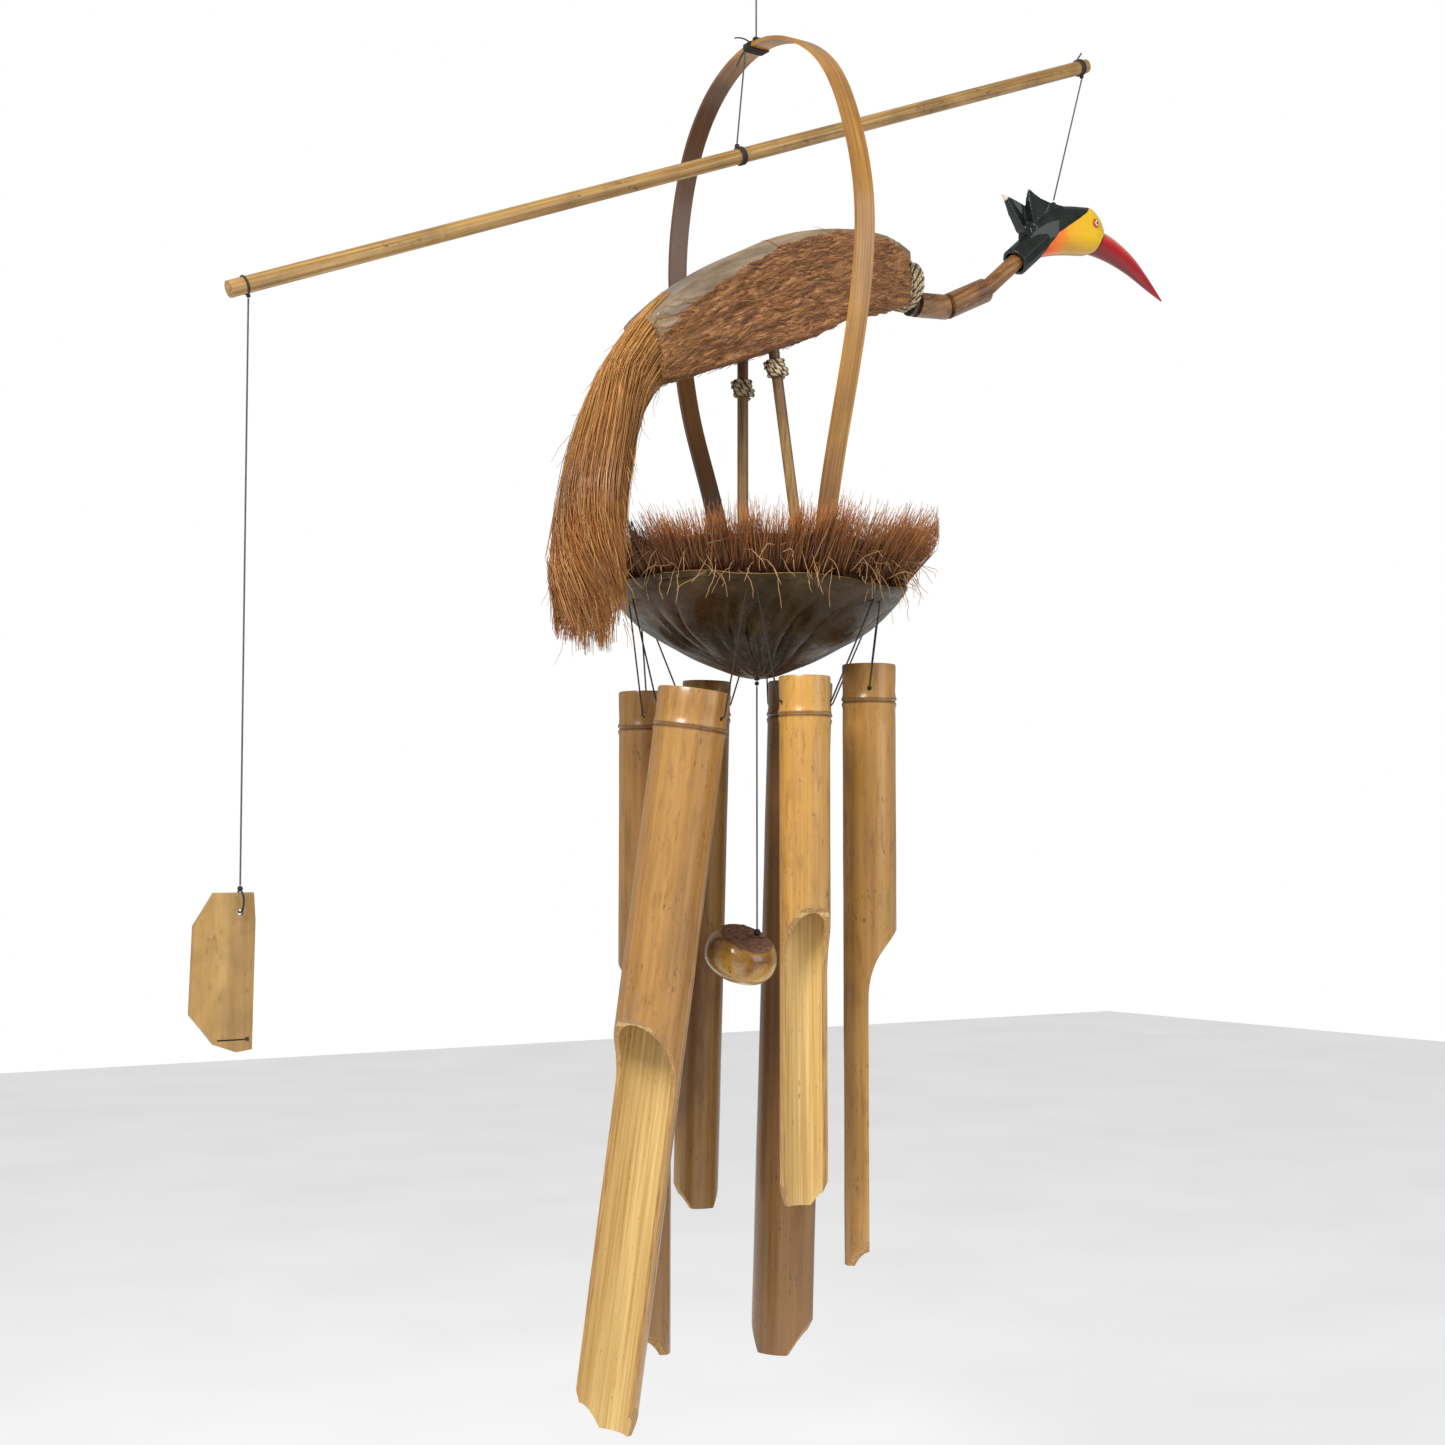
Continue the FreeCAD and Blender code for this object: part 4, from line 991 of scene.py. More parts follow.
# %% Strands of the tail
TAIL_STRANDS = 3000
locks = []
for k in range(85):
    turn, size = chance.uniform(0, 2 * math.pi), math.sqrt(chance.random())
    locks.append((size * math.cos(turn), size * math.sin(turn), chance.uniform(0.90, 1.0)))
strands = Strands()
for k in range(TAIL_STRANDS):
    turn, size = chance.uniform(0, 2 * math.pi), math.sqrt(chance.uniform(0.10, 1.0))
    a, b = size * math.cos(turn), size * math.sin(turn)
    lock = min(locks, key=lambda lock: (lock[0] - a) ** 2 + (lock[1] - b) ** 2)
    begin = chance.uniform(0.0, 0.10) if chance.random() < 0.6 else chance.uniform(0.1, 0.5)
    end = lock[2] * chance.uniform(0.90, 1.0)
    drift_a, drift_b = chance.gauss(0, 0.10), chance.gauss(0, 0.10)
    phase, wave = chance.uniform(0, 6), chance.uniform(0.0, 0.05)
    path = []
    for step in range(9):
        t = begin + (end - begin) * step / 8
        place, along, across, up = tail_frame(t)
        pull = 0.62 * max(0.0, (t - 0.62) / 0.38)
        s = step / 8
        pa = (a + drift_a * s) * (1 - pull) + lock[0] * pull + wave * math.sin(phase + 7 * t)
        pb = (b + drift_b * s) * (1 - pull) + lock[1] * pull + wave * math.cos(phase + 6 * t)
        wide = curve_along(TAIL_WIDE, t)
        high = curve_along(TAIL_HIGH, t)
        path.append(place + across * (pa * wide) + up * (pb * high))
    strands.add(path, 0.00036, k + chance.random(), taper=0.6)
for k in range(150):                             # wisps that stick out
    t = chance.uniform(0.15, 0.95)
    turn = chance.uniform(0, 2 * math.pi)
    place, along, across, up = tail_frame(t)
    side = across * math.cos(turn) + up * math.sin(turn)
    start = place + across * (math.cos(turn) * curve_along(TAIL_WIDE, t) * 0.92) \
        + up * (math.sin(turn) * curve_along(TAIL_HIGH, t) * 0.92)
    strands.add(wander(start, along + side * 0.42, chance.uniform(0.012, 0.034), 0.5, chance, 0.9), 0.0003, 5000 + k)
tail = strands.finish("coir_tail", finish["tail"])
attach(tail, "frame")
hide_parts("tail")

# %% [markdown]
# A dark core fills the middle of the tail, so no light shows through the strands. Its dark colour is painted shade, the
# shade inside the bundle.

# %% Core of the tail
CORE_RINGS, CORE_SIDES = 15, 24
core_points, core_faces = [], []
for ring in range(CORE_RINGS):
    t = 0.03 + 0.86 * ring / (CORE_RINGS - 1)
    place, along, across, up = tail_frame(t)
    for s in range(CORE_SIDES):
        turn = 2 * math.pi * s / CORE_SIDES
        size = 0.80 - 0.15 * ring / (CORE_RINGS - 1)
        core_points.append(place + across * (math.cos(turn) * curve_along(TAIL_WIDE, t) * size)
                           + up * (math.sin(turn) * curve_along(TAIL_HIGH, t) * size))
for ring in range(CORE_RINGS - 1):
    for s in range(CORE_SIDES):
        i, j = ring * CORE_SIDES + s, ring * CORE_SIDES + (s + 1) % CORE_SIDES
        core_faces.append((i, j, j + CORE_SIDES, i + CORE_SIDES))
core_faces.append(tuple(reversed(range(CORE_SIDES))))
core_faces.append(tuple((CORE_RINGS - 1) * CORE_SIDES + s for s in range(CORE_SIDES)))
core = mesh_object("tail_core", core_points, core_faces)
# painted shade: the core wears the dark mat finish for the shade inside the tail
core.data.materials.append(finish["mat"])
core.data.shade_smooth()
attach(core, "frame")
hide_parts("tail")
print("tail faces", len(tail.data.polygons))

# %% [markdown]
# The bird's body is a slice of raw husk. Its back keeps the smooth dried skin, and its flanks
# show fibre that was torn, not cut, so long grooves run along it. The model's two body pieces
# are copied, joined and remeshed finely enough to be pushed in and out along those grooves.

# %% The husk body
from mathutils.bvhtree import BVHTree


def copy_of(name, node_names, voxel):
    """Fresh mesh from model nodes, merged and remeshed as one skin."""
    merged = bmesh.new()
    for node in node_names:
        part = nodes[node].data.copy()
        part.transform(nodes[node].matrix_world)
        merged.from_mesh(part)
    bmesh.ops.remove_doubles(merged, verts=merged.verts, dist=1e-5)
    data = bpy.data.meshes.new(name)
    merged.to_mesh(data)
    merged.free()
    data.materials.clear()
    obj = bpy.data.objects.new(name, data)
    bpy.context.collection.objects.link(obj)
    apply_modifier(obj, "REMESH", mode="VOXEL", voxel_size=voxel)
    return obj


BACK = [Vector(p) * MM for p in ((-98, 0, -268), (-65, 0, -238), (-31, 0, -215), (3, 0, -198), (39, 0, -187),
                                 (66, 0, -182), (103, 0, -181), (126, 0, -189), (142, 0, -200))]


def back_height(x):
    for a, b in zip(BACK, BACK[1:]):
        if x <= b.x:
            return a.z + (b.z - a.z) * (x - a.x) / (b.x - a.x)
    return BACK[-1].z


def skin_reach(x):
    """How far down the flank the smooth skin comes, widest over the tail."""
    t = min(max((x + 0.098) / 0.150, 0), 1)
    ragged = 0.0042 * noise.noise(Vector((x * 45, 0, 2))) + 0.0022 * noise.noise(Vector((x * 190, 0, 7)))
    return 0.0165 * (1 - t) ** 1.1 + 0.0028 + ragged


body = copy_of("husk_body", ["body_husk", "back_skin"], 0.00125)
apply_modifier(body, "SMOOTH", factor=0.5, iterations=4)
normals = [vertex.normal.copy() for vertex in body.data.vertices]     # read before any point moves
for vertex, n in zip(body.data.vertices, normals):
    p = vertex.co.copy()
    below = back_height(p.x) - p.z
    edge = below - skin_reach(p.x)
    fibrous = min(1.0, max(0.0, edge / 0.004))
    across = Vector((p.x * 16 + below * 20, p.y * 190, below * 190))
    bend = noise.noise(Vector((p.x * 38, p.y * 30, p.z * 30))) * 2.0
    groove = noise.noise(across + Vector((0, bend, bend)))
    groove += 0.5 * noise.noise(across * 2.3 + Vector((5, bend, 1)))
    torn = max(0.0, noise.noise(Vector((p.x * 34, p.y * 120, below * 110 + 3))) - 0.28)
    vertex.co = p + n * (fibrous * (groove * 0.0016 - torn * 0.0055) + (1 - fibrous) * 0.0004)
print("body points", len(body.data.vertices))

# %% [markdown]
# The flanks are red-brown fibre with dark streaks painted in as the shade of the gaps between fibres, paler and more
# golden near the tail. The band along the back takes the smooth skin finish instead, face by face.

# %% The husk's finish
def husk_material():
    material, tree, space, shader = start_material("husk_fibre", (0, math.radians(-66), 0))
    wobble = wire(tree, "TexNoise", {"Vector": space, "Scale": 60.0, "Detail": 2.0})
    shift = wire(tree, "VectorMath", {0: wobble.outputs["Color"], 1: (0.010, 0.010, 0.010)}, operation="MULTIPLY")
    moved = wire(tree, "VectorMath", {0: space, 1: shift.outputs[0]}, operation="ADD").outputs[0]
    streaks = place_group(tree, streak_group, {"Vector": moved, "Across": 520.0, "Along": 55.0})
    wide = place_group(tree, streak_group, {"Vector": moved, "Across": 170.0, "Along": 26.0})
    base = ramp(tree, streaks["Streak"], [(0.30, (0.065, 0.022, 0.008)), (0.44, (0.200, 0.078, 0.026)),
                                         (0.56, (0.36, 0.158, 0.055)), (0.72, (0.56, 0.29, 0.115))])
    # painted shade: broad dark streaks, low where the bump is low, for the shade in the gaps between fibres
    deep = blend_colours(tree, level(tree, wide["Streak"], 0.52, 0.36, 0.0, 0.55), base, (0.085, 0.030, 0.012))
    heights = wire(tree, "SeparateXYZ", {"Vector": wire(tree, "TexCoord").outputs["Object"]}).outputs["X"]
    golden = blend_colours(tree, level(tree, heights, -0.035, -0.095, 0.0, 0.6), deep, (0.46, 0.22, 0.075))
    tree.links.new(golden, shader.inputs["Base Color"])
    tree.links.new(level(tree, streaks["Fine"], 0.3, 0.7, 0.65, 0.85), shader.inputs["Roughness"])
    bump(tree, shader, wire(tree, "Math", {0: streaks["Streak"], 1: wide["Streak"]}, operation="ADD").outputs[0],
         0.9, 0.0022)
    return material


finish["husk"] = husk_material()
finish["body_fibre"] = fibre_finish("body_fibre", (0.26, 0.100, 0.030), (0.46, 0.21, 0.070), (0.70, 0.42, 0.18),
                                    pale_share=0.3, shade=0.7)
body.data.materials.append(finish["husk"])
body.data.materials.append(finish["husk_skin"])
for face in body.data.polygons:
    c = face.center
    if back_height(c.x) - c.z < skin_reach(c.x) and c.x < 0.124:
        face.material_index = 1
body.data.shade_smooth()
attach(body, "frame")
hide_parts("body_husk", "back_skin")

# %% [markdown]
# Loose fibres lie over the torn flanks. Each one starts at a point of the body and creeps
# along it, a hair's breadth off the surface, so it follows every bulge.

# %% Fibres on the flanks
tree_of_body = BVHTree.FromPolygons([v.co.copy() for v in body.data.vertices],
                                    [tuple(f.vertices) for f in body.data.polygons])
chance = random.Random(31)
hairs = Strands()
starts = [v.index for v in body.data.vertices
          if back_height(v.co.x) - v.co.z > skin_reach(v.co.x) + 0.001 and v.co.x < 0.120]
for k in range(2300):
    place = body.data.vertices[chance.choice(starts)].co.copy()
    rear = place.x < -0.045
    if not rear and chance.random() < 0.6:
        continue
    heading = Vector((-1, 0, -0.55 if place.x < 0 else -0.25)) if rear or chance.random() < 0.7 else Vector((1, 0, 0.2))
    way = (heading + Vector((0, chance.gauss(0, 0.15), chance.gauss(0, 0.22)))).normalized()
    length = chance.uniform(0.014, 0.040) if rear else chance.uniform(0.010, 0.028)
    path = []
    for step in range(6):
        near, normal, index, gap = tree_of_body.find_nearest(place)
        lift = 0.0002 + (0.0005 * (step / 5) ** 2 if k % 7 else 0.0024 * (step / 5) ** 2)
        path.append(near + normal * lift)
        wobble = Vector((0, chance.gauss(0, 0.10), chance.gauss(0, 0.10)))
        way = (way - normal * way.dot(normal) * 0.8 + wobble).normalized()
        place = near + way * (length / 5)
    hairs.add(path, 0.00030, k * 1.3, taper=0.6)
hair = hairs.finish("husk_hairs", finish["body_fibre"])
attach(hair, "frame")
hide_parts("body_husk")
print("flank fibres", len(hair.data.polygons))

# %% [markdown]
# Twine binds the neck to the husk and marks the bird's knees. It is two plies, one natural and
# one dark, twisted round each other while the pair is wound round the stick. Each ply is its
# own strand, so the twist is real and catches light on every crossing.

# %% Twine bindings
def twine_finish(name, dark, light):
    material, tree, space, shader = start_material(name)
    fuzz = wire(tree, "TexNoise", {"Vector": space, "Scale": 1500.0, "Detail": 4.0, "Roughness": 0.7})
    tree.links.new(ramp(tree, fuzz.outputs["Fac"], [(0.32, dark), (0.68, light)]), shader.inputs["Base Color"])
    tree.links.new(level(tree, fuzz.outputs["Fac"], 0.3, 0.7, 0.7, 0.9), shader.inputs["Roughness"])
    bump(tree, shader, fuzz.outputs["Fac"], 0.8, 0.0005)
    return material


finish["twine_pale"] = twine_finish("twine_pale", (0.38, 0.27, 0.14), (0.80, 0.68, 0.46))
finish["twine_dark"] = twine_finish("twine_dark", (0.050, 0.022, 0.010), (0.17, 0.085, 0.040))


def coil_way(centre, axis, radius, turns, pitch, slant, steps):
    """Points of a coil round a stick, each turn slanted a little."""
    axis = Vector(axis).normalized()
    first = axis.cross(Vector((0, 1, 0))).normalized()
    second = axis.cross(first)
    points = []
    for k in range(int(turns * steps) + 1):
        turn = 2 * math.pi * k / steps
        along = pitch * (k / steps - turns / 2) + slant * math.sin(turn + 0.6)
        points.append(Vector(centre) + axis * along + (first * math.cos(turn) + second * math.sin(turn)) * radius)
    return points


def twine(name, ways, ply, twist, body_name, node):
    """Three plies twisted round each other along given ways."""
    for number, key in enumerate(("twine_pale", "twine_dark", "twine_pale")):
        lay = Strands()
        for way in ways:
            path = []
            travelled = 0.0
            for k, place in enumerate(way):
                after = way[min(k + 1, len(way) - 1)]
                before = way[max(k - 1, 0)]
                along = (after - before).normalized()
                first = along.cross(Vector((0.2, 0.3, 0.93))).normalized()
                second = along.cross(first)
                turn = travelled / twist * 2 * math.pi + 2 * math.pi * number / 3
                path.append(place + (first * math.cos(turn) + second * math.sin(turn)) * ply * 1.05)
                travelled += (after - place).length
            lay.add(path, ply, number, sides=6, taper=1.0)
        piece = lay.finish("%s_ply_%d" % (name, number + 1), finish[key])
        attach(piece, body_name)
        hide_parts(node)

# %% [markdown]
# Each binding is two coils: a tight one on the stick and a looser, slanted one over it.

# %% Twine at the neck and the knees
ways = [coil_way((0.1335, 0, -0.209), (1, 0, 0), 0.0172, 4.6, 0.0026, 0.0014, 64),
        coil_way((0.1325, 0, -0.209), (1, 0, 0), 0.0186, 2.0, 0.0040, -0.0030, 64)]
twine("neck_twine", ways, 0.00085, 0.0062, "frame", "neck_wrap")
NEAR_KNEE = Vector((2.2, -15, -262)) * MM + Vector((0.156, 0, -1)).normalized() * 0.030
FAR_KNEE = Vector((-2, 15, -302)) * MM
for name, knee, line in (("near", NEAR_KNEE, (0.156, 0, -1)), ("far", FAR_KNEE, (0, 0, -1))):
    ways = [coil_way(knee, line, 0.0056, 4.0, 0.0031, 0.0008, 40),
            coil_way(knee, line, 0.0073, 1.6, 0.0030, 0.0040, 40)]
    twine("knee_twine_" + name, ways, 0.00085, 0.0056, "frame", "knee_knot_" + name)

# %% [markdown]
# The head and crest are one carved block of soft wood, painted. Its sections are drawn from
# the throat to the brow, a cuff and two flat crest spikes are added, and a fine remesh melts
# them together the way sanding and thick paint do. A socket for the neck is then bored.

# %% Carved head
def section_loft(name, sections):
    """Closed skin over rings of equal point counts."""
    points = [p for ring in sections for p in ring]
    count = len(sections[0])
    faces = []
    for ring in range(len(sections) - 1):
        for s in range(count):
            i, j = ring * count + s, ring * count + (s + 1) % count
            faces.append((i, j, j + count, i + count))
    faces.append(tuple(reversed(range(count))))
    faces.append(tuple((len(sections) - 1) * count + s for s in range(count)))
    obj = mesh_object(name, points, faces)
    face_outwards(obj)
    return obj


HEAD_TOP = [Vector((x, 0, z)) * MM for x, z in ((256, -143), (264, -134), (274, -127), (287, -122.8), (300, -120.2),
                                                (312, -118.8), (322, -118.4), (331, -125), (336.5, -134.5))]
HEAD_CHIN = [Vector((x, 0, z)) * MM for x, z in ((259, -172), (266, -168.5), (276, -164.5), (289, -161), (300, -159),
                                                 (309, -157.8), (316, -157), (321, -156.2), (325.5, -154.5))]
HEAD_WIDE = [0.0085, 0.0102, 0.0113, 0.0120, 0.0120, 0.0118, 0.0113, 0.0105, 0.0090]
sections = []
for k in range(25):
    t = k / 24
    top, chin, wide = curve_along(HEAD_TOP, t), curve_along(HEAD_CHIN, t), curve_along(HEAD_WIDE, t)
    middle, half = (top + chin) / 2, (top - chin) / 2
    ring = []
    for s in range(20):
        turn = 2 * math.pi * (s + 0.5) / 20
        c, d = math.cos(turn), math.sin(turn)
        square = lambda v: math.copysign(abs(v) ** 0.62, v)
        ring.append(middle + half * square(d) + Vector((0, wide, 0)) * square(c))
    sections.append(ring)
skull = section_loft("bird_skull", sections)
NECK_END = Vector((248.5, 0, -171.5)) * MM
NECK_WAY = Vector((0.756, 0, 0.6545)).normalized()
bpy.ops.mesh.primitive_cylinder_add(vertices=12, radius=0.0115, depth=0.034,
                                    location=NECK_END + NECK_WAY * 0.0135,
                                    rotation=NECK_WAY.to_track_quat("Z", "Y").to_euler())
cuff = bpy.context.object

# %% [markdown]
# A crest spike is an outline given thickness, thin at its tip and thicker towards the skull.
# Once the parts are melted together, a cylinder bores the socket that the neck sits in.

# %% Crest spikes and the finished carving
def spike(outline, middle, tip, swell):
    """Flat carved plate, thin at its tip."""
    rings = []
    for sign in (-1, 1):
        for x, z in outline:
            reach = math.hypot(x - tip[0], z - tip[1])
            half = min(0.9 + reach * swell, 5.0)
            rings.append(Vector((x, middle + sign * half, z)) * MM)
    count = len(outline)
    faces = [tuple(range(count)), tuple(reversed(range(count, 2 * count)))]
    faces += [(s, (s + 1) % count, (s + 1) % count + count, s + count) for s in range(count)]
    obj = mesh_object("crest_spike", rings, faces)
    face_outwards(obj)
    return obj


front_spike = spike([(256.9, -113.6), (262, -117.3), (268, -120.4), (276, -122.6), (290, -123.4), (290, -136),
                     (262, -148), (257.5, -137), (255.6, -123.5)], -4.5, (256.9, -113.6), 0.16)
rear_spike = spike([(236.4, -119.4), (244, -121.6), (250, -123.6), (257, -126.5), (266, -135), (266, -150),
                    (255, -146), (245.5, -133.5)], 3.5, (236.4, -119.4), 0.16)
bpy.ops.object.select_all(action="DESELECT")
for part in (cuff, front_spike, rear_spike, skull):
    part.select_set(True)
bpy.context.view_layer.objects.active = skull
bpy.ops.object.join()
apply_modifier(skull, "REMESH", mode="VOXEL", voxel_size=0.0005)
apply_modifier(skull, "SMOOTH", factor=0.5, iterations=5)
bpy.ops.mesh.primitive_cylinder_add(vertices=32, radius=0.0086, depth=0.020,
                                    location=NECK_END - NECK_WAY * 0.001,
                                    rotation=NECK_WAY.to_track_quat("Z", "Y").to_euler())
cut_away(skull, bpy.context.object)
print("head faces", len(skull.data.polygons))

# %% [markdown]
# The paint is placed by position. A ramp over the height gives the line where black meets the
# yellow face, noise makes that line a brush stroke, and the spike tips show bare wood.

# %% Paint on the head
def head_paint():
    """Gloss black with a yellow face that turns orange and red towards the throat."""
    material, tree, space, shader = start_material("head_paint")
    xyz = wire(tree, "SeparateXYZ", {"Vector": space}).outputs
    brush = wire(tree, "TexNoise", {"Vector": space, "Scale": 90.0, "Detail": 3.0, "Roughness": 0.6})
    ripple = level(tree, brush.outputs["Fac"], 0.0, 1.0, -0.0012, 0.0012)
    limit = ramp(tree, level(tree, xyz["Z"], -0.175, -0.118), [
        (0.00, (0.100, 0, 0)), (0.10, (0.155, 0, 0)), (0.28, (0.235, 0, 0)), (0.50, (0.365, 0, 0)),
        (0.69, (0.575, 0, 0)), (0.88, (0.780, 0, 0)), (1.00, (0.860, 0, 0))])
    limit_x = level(tree, wire(tree, "SeparateColor", {"Color": limit}).outputs["Red"], 0.0, 1.0, 0.255, 0.330)
    gap = wire(tree, "Math", {0: wire(tree, "Math", {0: xyz["X"], 1: limit_x}, operation="SUBTRACT").outputs[0],
                              1: ripple}, operation="ADD").outputs[0]
    face_area = level(tree, gap, 0.0, 0.0006)
    face_colour = ramp(tree, level(tree, xyz["X"], 0.262, 0.318), [
        (0.00, (0.72, 0.040, 0.020)), (0.22, (0.82, 0.090, 0.020)), (0.45, (0.86, 0.23, 0.020)),
        (0.62, (0.84, 0.42, 0.020)), (1.00, (0.80, 0.50, 0.012))])
    low = blend_colours(tree, level(tree, xyz["Z"], -0.145, -0.157, 0.0, 0.75), face_colour, (0.42, 0.235, 0.035))
    low_only_front = blend_colours(tree, level(tree, xyz["X"], 0.275, 0.295), face_colour, low)
    wash = blend_colours(tree, level(tree, brush.outputs["Fac"], 0.5, 0.8, 0.0, 0.35), low_only_front,
                         (0.86, 0.52, 0.10))
    black = ramp(tree, brush.outputs["Fac"], [(0.3, (0.0035, 0.0065, 0.005)), (0.7, (0.010, 0.016, 0.012))])
    painted = blend_colours(tree, face_area, black, wash)
    tip = wire(tree, "VectorMath", {0: space, 1: (0.2364, 0.0035, -0.1194)}, operation="DISTANCE").outputs["Value"]
    bare = blend_colours(tree, level(tree, tip, 0.0062, 0.0050), painted, (0.78, 0.58, 0.40))
    front_tip = wire(tree, "VectorMath", {0: space, 1: (0.2569, -0.0045, -0.1136)},
                     operation="DISTANCE").outputs["Value"]
    chipped = blend_colours(tree, level(tree, front_tip, 0.0022, 0.0012), bare, (0.45, 0.33, 0.24))
    tree.links.new(chipped, shader.inputs["Base Color"])
    tree.links.new(level(tree, brush.outputs["Fac"], 0.3, 0.7, 0.24, 0.36), shader.inputs["Roughness"])
    shader.inputs["Specular IOR Level"].default_value = 0.15
    shader.inputs["Coat Weight"].default_value = 0.6
    shader.inputs["Coat Roughness"].default_value = 0.03
    bump(tree, shader, brush.outputs["Fac"], 0.35, 0.0015)
    return material


skull.data.materials.append(head_paint())
smooth(skull, 50)
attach(skull, "bird_head")
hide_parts("head", "crest")

# %% [markdown]
# The beak is a second piece of wood, curved down to a point. Its rings follow that curve, with
# a blunt ridge on top. The eyes are domes of paint: a red ring, white, then a black pupil.

# %% The beak
BEAK_TOP = [Vector((x, 0, z)) * MM for x, z in ((335.2, -134.6), (344, -135.8), (354, -139.6), (365, -145.2),
                                                (376, -152.6), (387, -162.4), (397, -172.2), (405.6, -181.2))]
BEAK_LOW = [Vector((x, 0, z)) * MM for x, z in ((325.2, -154.9), (336, -156.2), (348, -158.6), (360, -162.2),
                                                (371, -166.4), (383, -172.2), (394, -177.4), (405.0, -182.2))]
BEAK_WIDE = [0.0088, 0.0084, 0.0076, 0.0065, 0.0053, 0.0038, 0.0022, 0.0006]
sections = []
for k in range(29):
    t = k / 28
    top, low, wide = curve_along(BEAK_TOP, t), curve_along(BEAK_LOW, t), curve_along(BEAK_WIDE, t)
    middle, half = (top + low) / 2, (top - low) / 2
    ring = []
    for s in range(24):
        turn = 2 * math.pi * s / 24 + math.pi / 2
        c, d = math.cos(turn), math.sin(turn)
        ring.append(middle + half * d + Vector((0, wide, 0)) * (c * (1 - 0.28 * max(0, d))))
    sections.append(ring)
beak = section_loft("bird_beak", sections)


def beak_paint():
    material, tree, space, shader = start_material("beak_paint")
    xyz = wire(tree, "SeparateXYZ", {"Vector": space}).outputs
    brush = wire(tree, "TexNoise", {"Vector": space, "Scale": 120.0, "Detail": 3.0})
    # height above the beak's own curved middle line
    middle = ramp(tree, level(tree, xyz["X"], 0.325, 0.406), [
        (0.0, (0.46, 0, 0)), (0.25, (0.405, 0, 0)), (0.5, (0.315, 0, 0)), (0.75, (0.185, 0, 0)), (1.0, (0.0, 0, 0))])
    middle_z = level(tree, wire(tree, "SeparateColor", {"Color": middle}).outputs["Red"], 0.0, 1.0, -0.1825, -0.0980)
    rise = wire(tree, "Math", {0: xyz["Z"], 1: middle_z}, operation="SUBTRACT").outputs[0]
    # the red runs from deep red on the underside up to a painted pale-orange highlight along the top ridge
    red = ramp(tree, level(tree, rise, -0.008, 0.010), [
        (0.0, (0.17, 0.002, 0.004)), (0.40, (0.36, 0.004, 0.008)), (0.62, (0.55, 0.008, 0.012)),
        (0.82, (0.72, 0.060, 0.045)), (1.0, (0.86, 0.36, 0.20))])
    brushed = blend_colours(tree, level(tree, brush.outputs["Fac"], 0.5, 0.8, 0.0, 0.35), red, (0.25, 0.004, 0.006))
    plane = wire(tree, "VectorMath", {0: space, 1: (0.8575, 0, -0.5145)}, operation="DOT_PRODUCT").outputs["Value"]
    edge = (0.331 * 0.8575 + 0.1445 * 0.5145)
    lined = blend_colours(tree, level(tree, plane, edge + 0.0014, edge + 0.0008), brushed, (0.012, 0.008, 0.006))
    tree.links.new(lined, shader.inputs["Base Color"])
    tree.links.new(level(tree, brush.outputs["Fac"], 0.3, 0.7, 0.20, 0.32), shader.inputs["Roughness"])
    shader.inputs["Specular IOR Level"].default_value = 0.2
    shader.inputs["Coat Weight"].default_value = 0.7
    shader.inputs["Coat Roughness"].default_value = 0.04
    bump(tree, shader, brush.outputs["Fac"], 0.2, 0.001)
    return material


beak.data.materials.append(beak_paint())
smooth(beak, 50)
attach(beak, "bird_head")
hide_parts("beak")

# %% [markdown]
# An eye's rings come from the distance to its own middle, pushed in and out by a little noise,
# so they look dabbed on.

# %% The eyes
def eye_paint(name, centre):
    material, tree, space, shader = start_material(name)
    away = wire(tree, "VectorMath", {0: space, 1: centre}, operation="DISTANCE").outputs["Value"]
    blot = wire(tree, "TexNoise", {"Vector": space, "Scale": 700.0, "Detail": 2.0})
    wavy = wire(tree, "Math", {0: away, 1: level(tree, blot.outputs["Fac"], 0, 1, -0.0002, 0.0002)}, operation="ADD")
    tree.links.new(ramp(tree, level(tree, wavy.outputs[0], 0.0, 0.0040), [
        (0.00, (0.006, 0.005, 0.005)), (0.34, (0.006, 0.005, 0.005)), (0.40, (0.85, 0.80, 0.70)),
        (0.58, (0.85, 0.80, 0.70)), (0.64, (0.60, 0.015, 0.015)), (1.0, (0.45, 0.010, 0.012))]),
        shader.inputs["Base Color"])
    tree.links.new(level(tree, blot.outputs["Fac"], 0.3, 0.7, 0.10, 0.20), shader.inputs["Roughness"])
    shader.inputs["Coat Weight"].default_value = 0.8
    return material


for name, side in (("eye_left", 1), ("eye_right", -1)):
    centre = Vector((0.3225, side * 0.0120, -0.1325))
    bpy.ops.mesh.primitive_uv_sphere_add(segments=32, ring_count=16, radius=0.0036, location=(0, 0, 0))
    dome = bpy.context.object
    dome.name = name + "_dome"
    bpy.ops.object.mode_set(mode="EDIT")
    bpy.ops.mesh.select_all(action="SELECT")
    bpy.ops.transform.resize(value=(1, 0.42, 1), center_override=(0, 0, 0))
    bpy.ops.transform.rotate(value=side * math.radians(14), orient_axis="Z", center_override=(0, 0, 0))
    bpy.ops.transform.translate(value=centre - Vector((0, side * 0.0006, 0)))
    object_mode()
    dome.data.materials.append(eye_paint(name + "_paint", tuple(centre + Vector((0.0003, side * 0.0012, 0)))))
    dome.data.shade_smooth()
    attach(dome, "bird_head")
    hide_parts(name)

# %% [markdown]
# The clapper is a thick slice of coconut: a rounded, polished rim and a rough fibrous face on
# top, with a crack where the thread goes in. One turned profile gives the bun, noise roughens
# only its upper face, and the whole piece is then tilted the way it hangs.

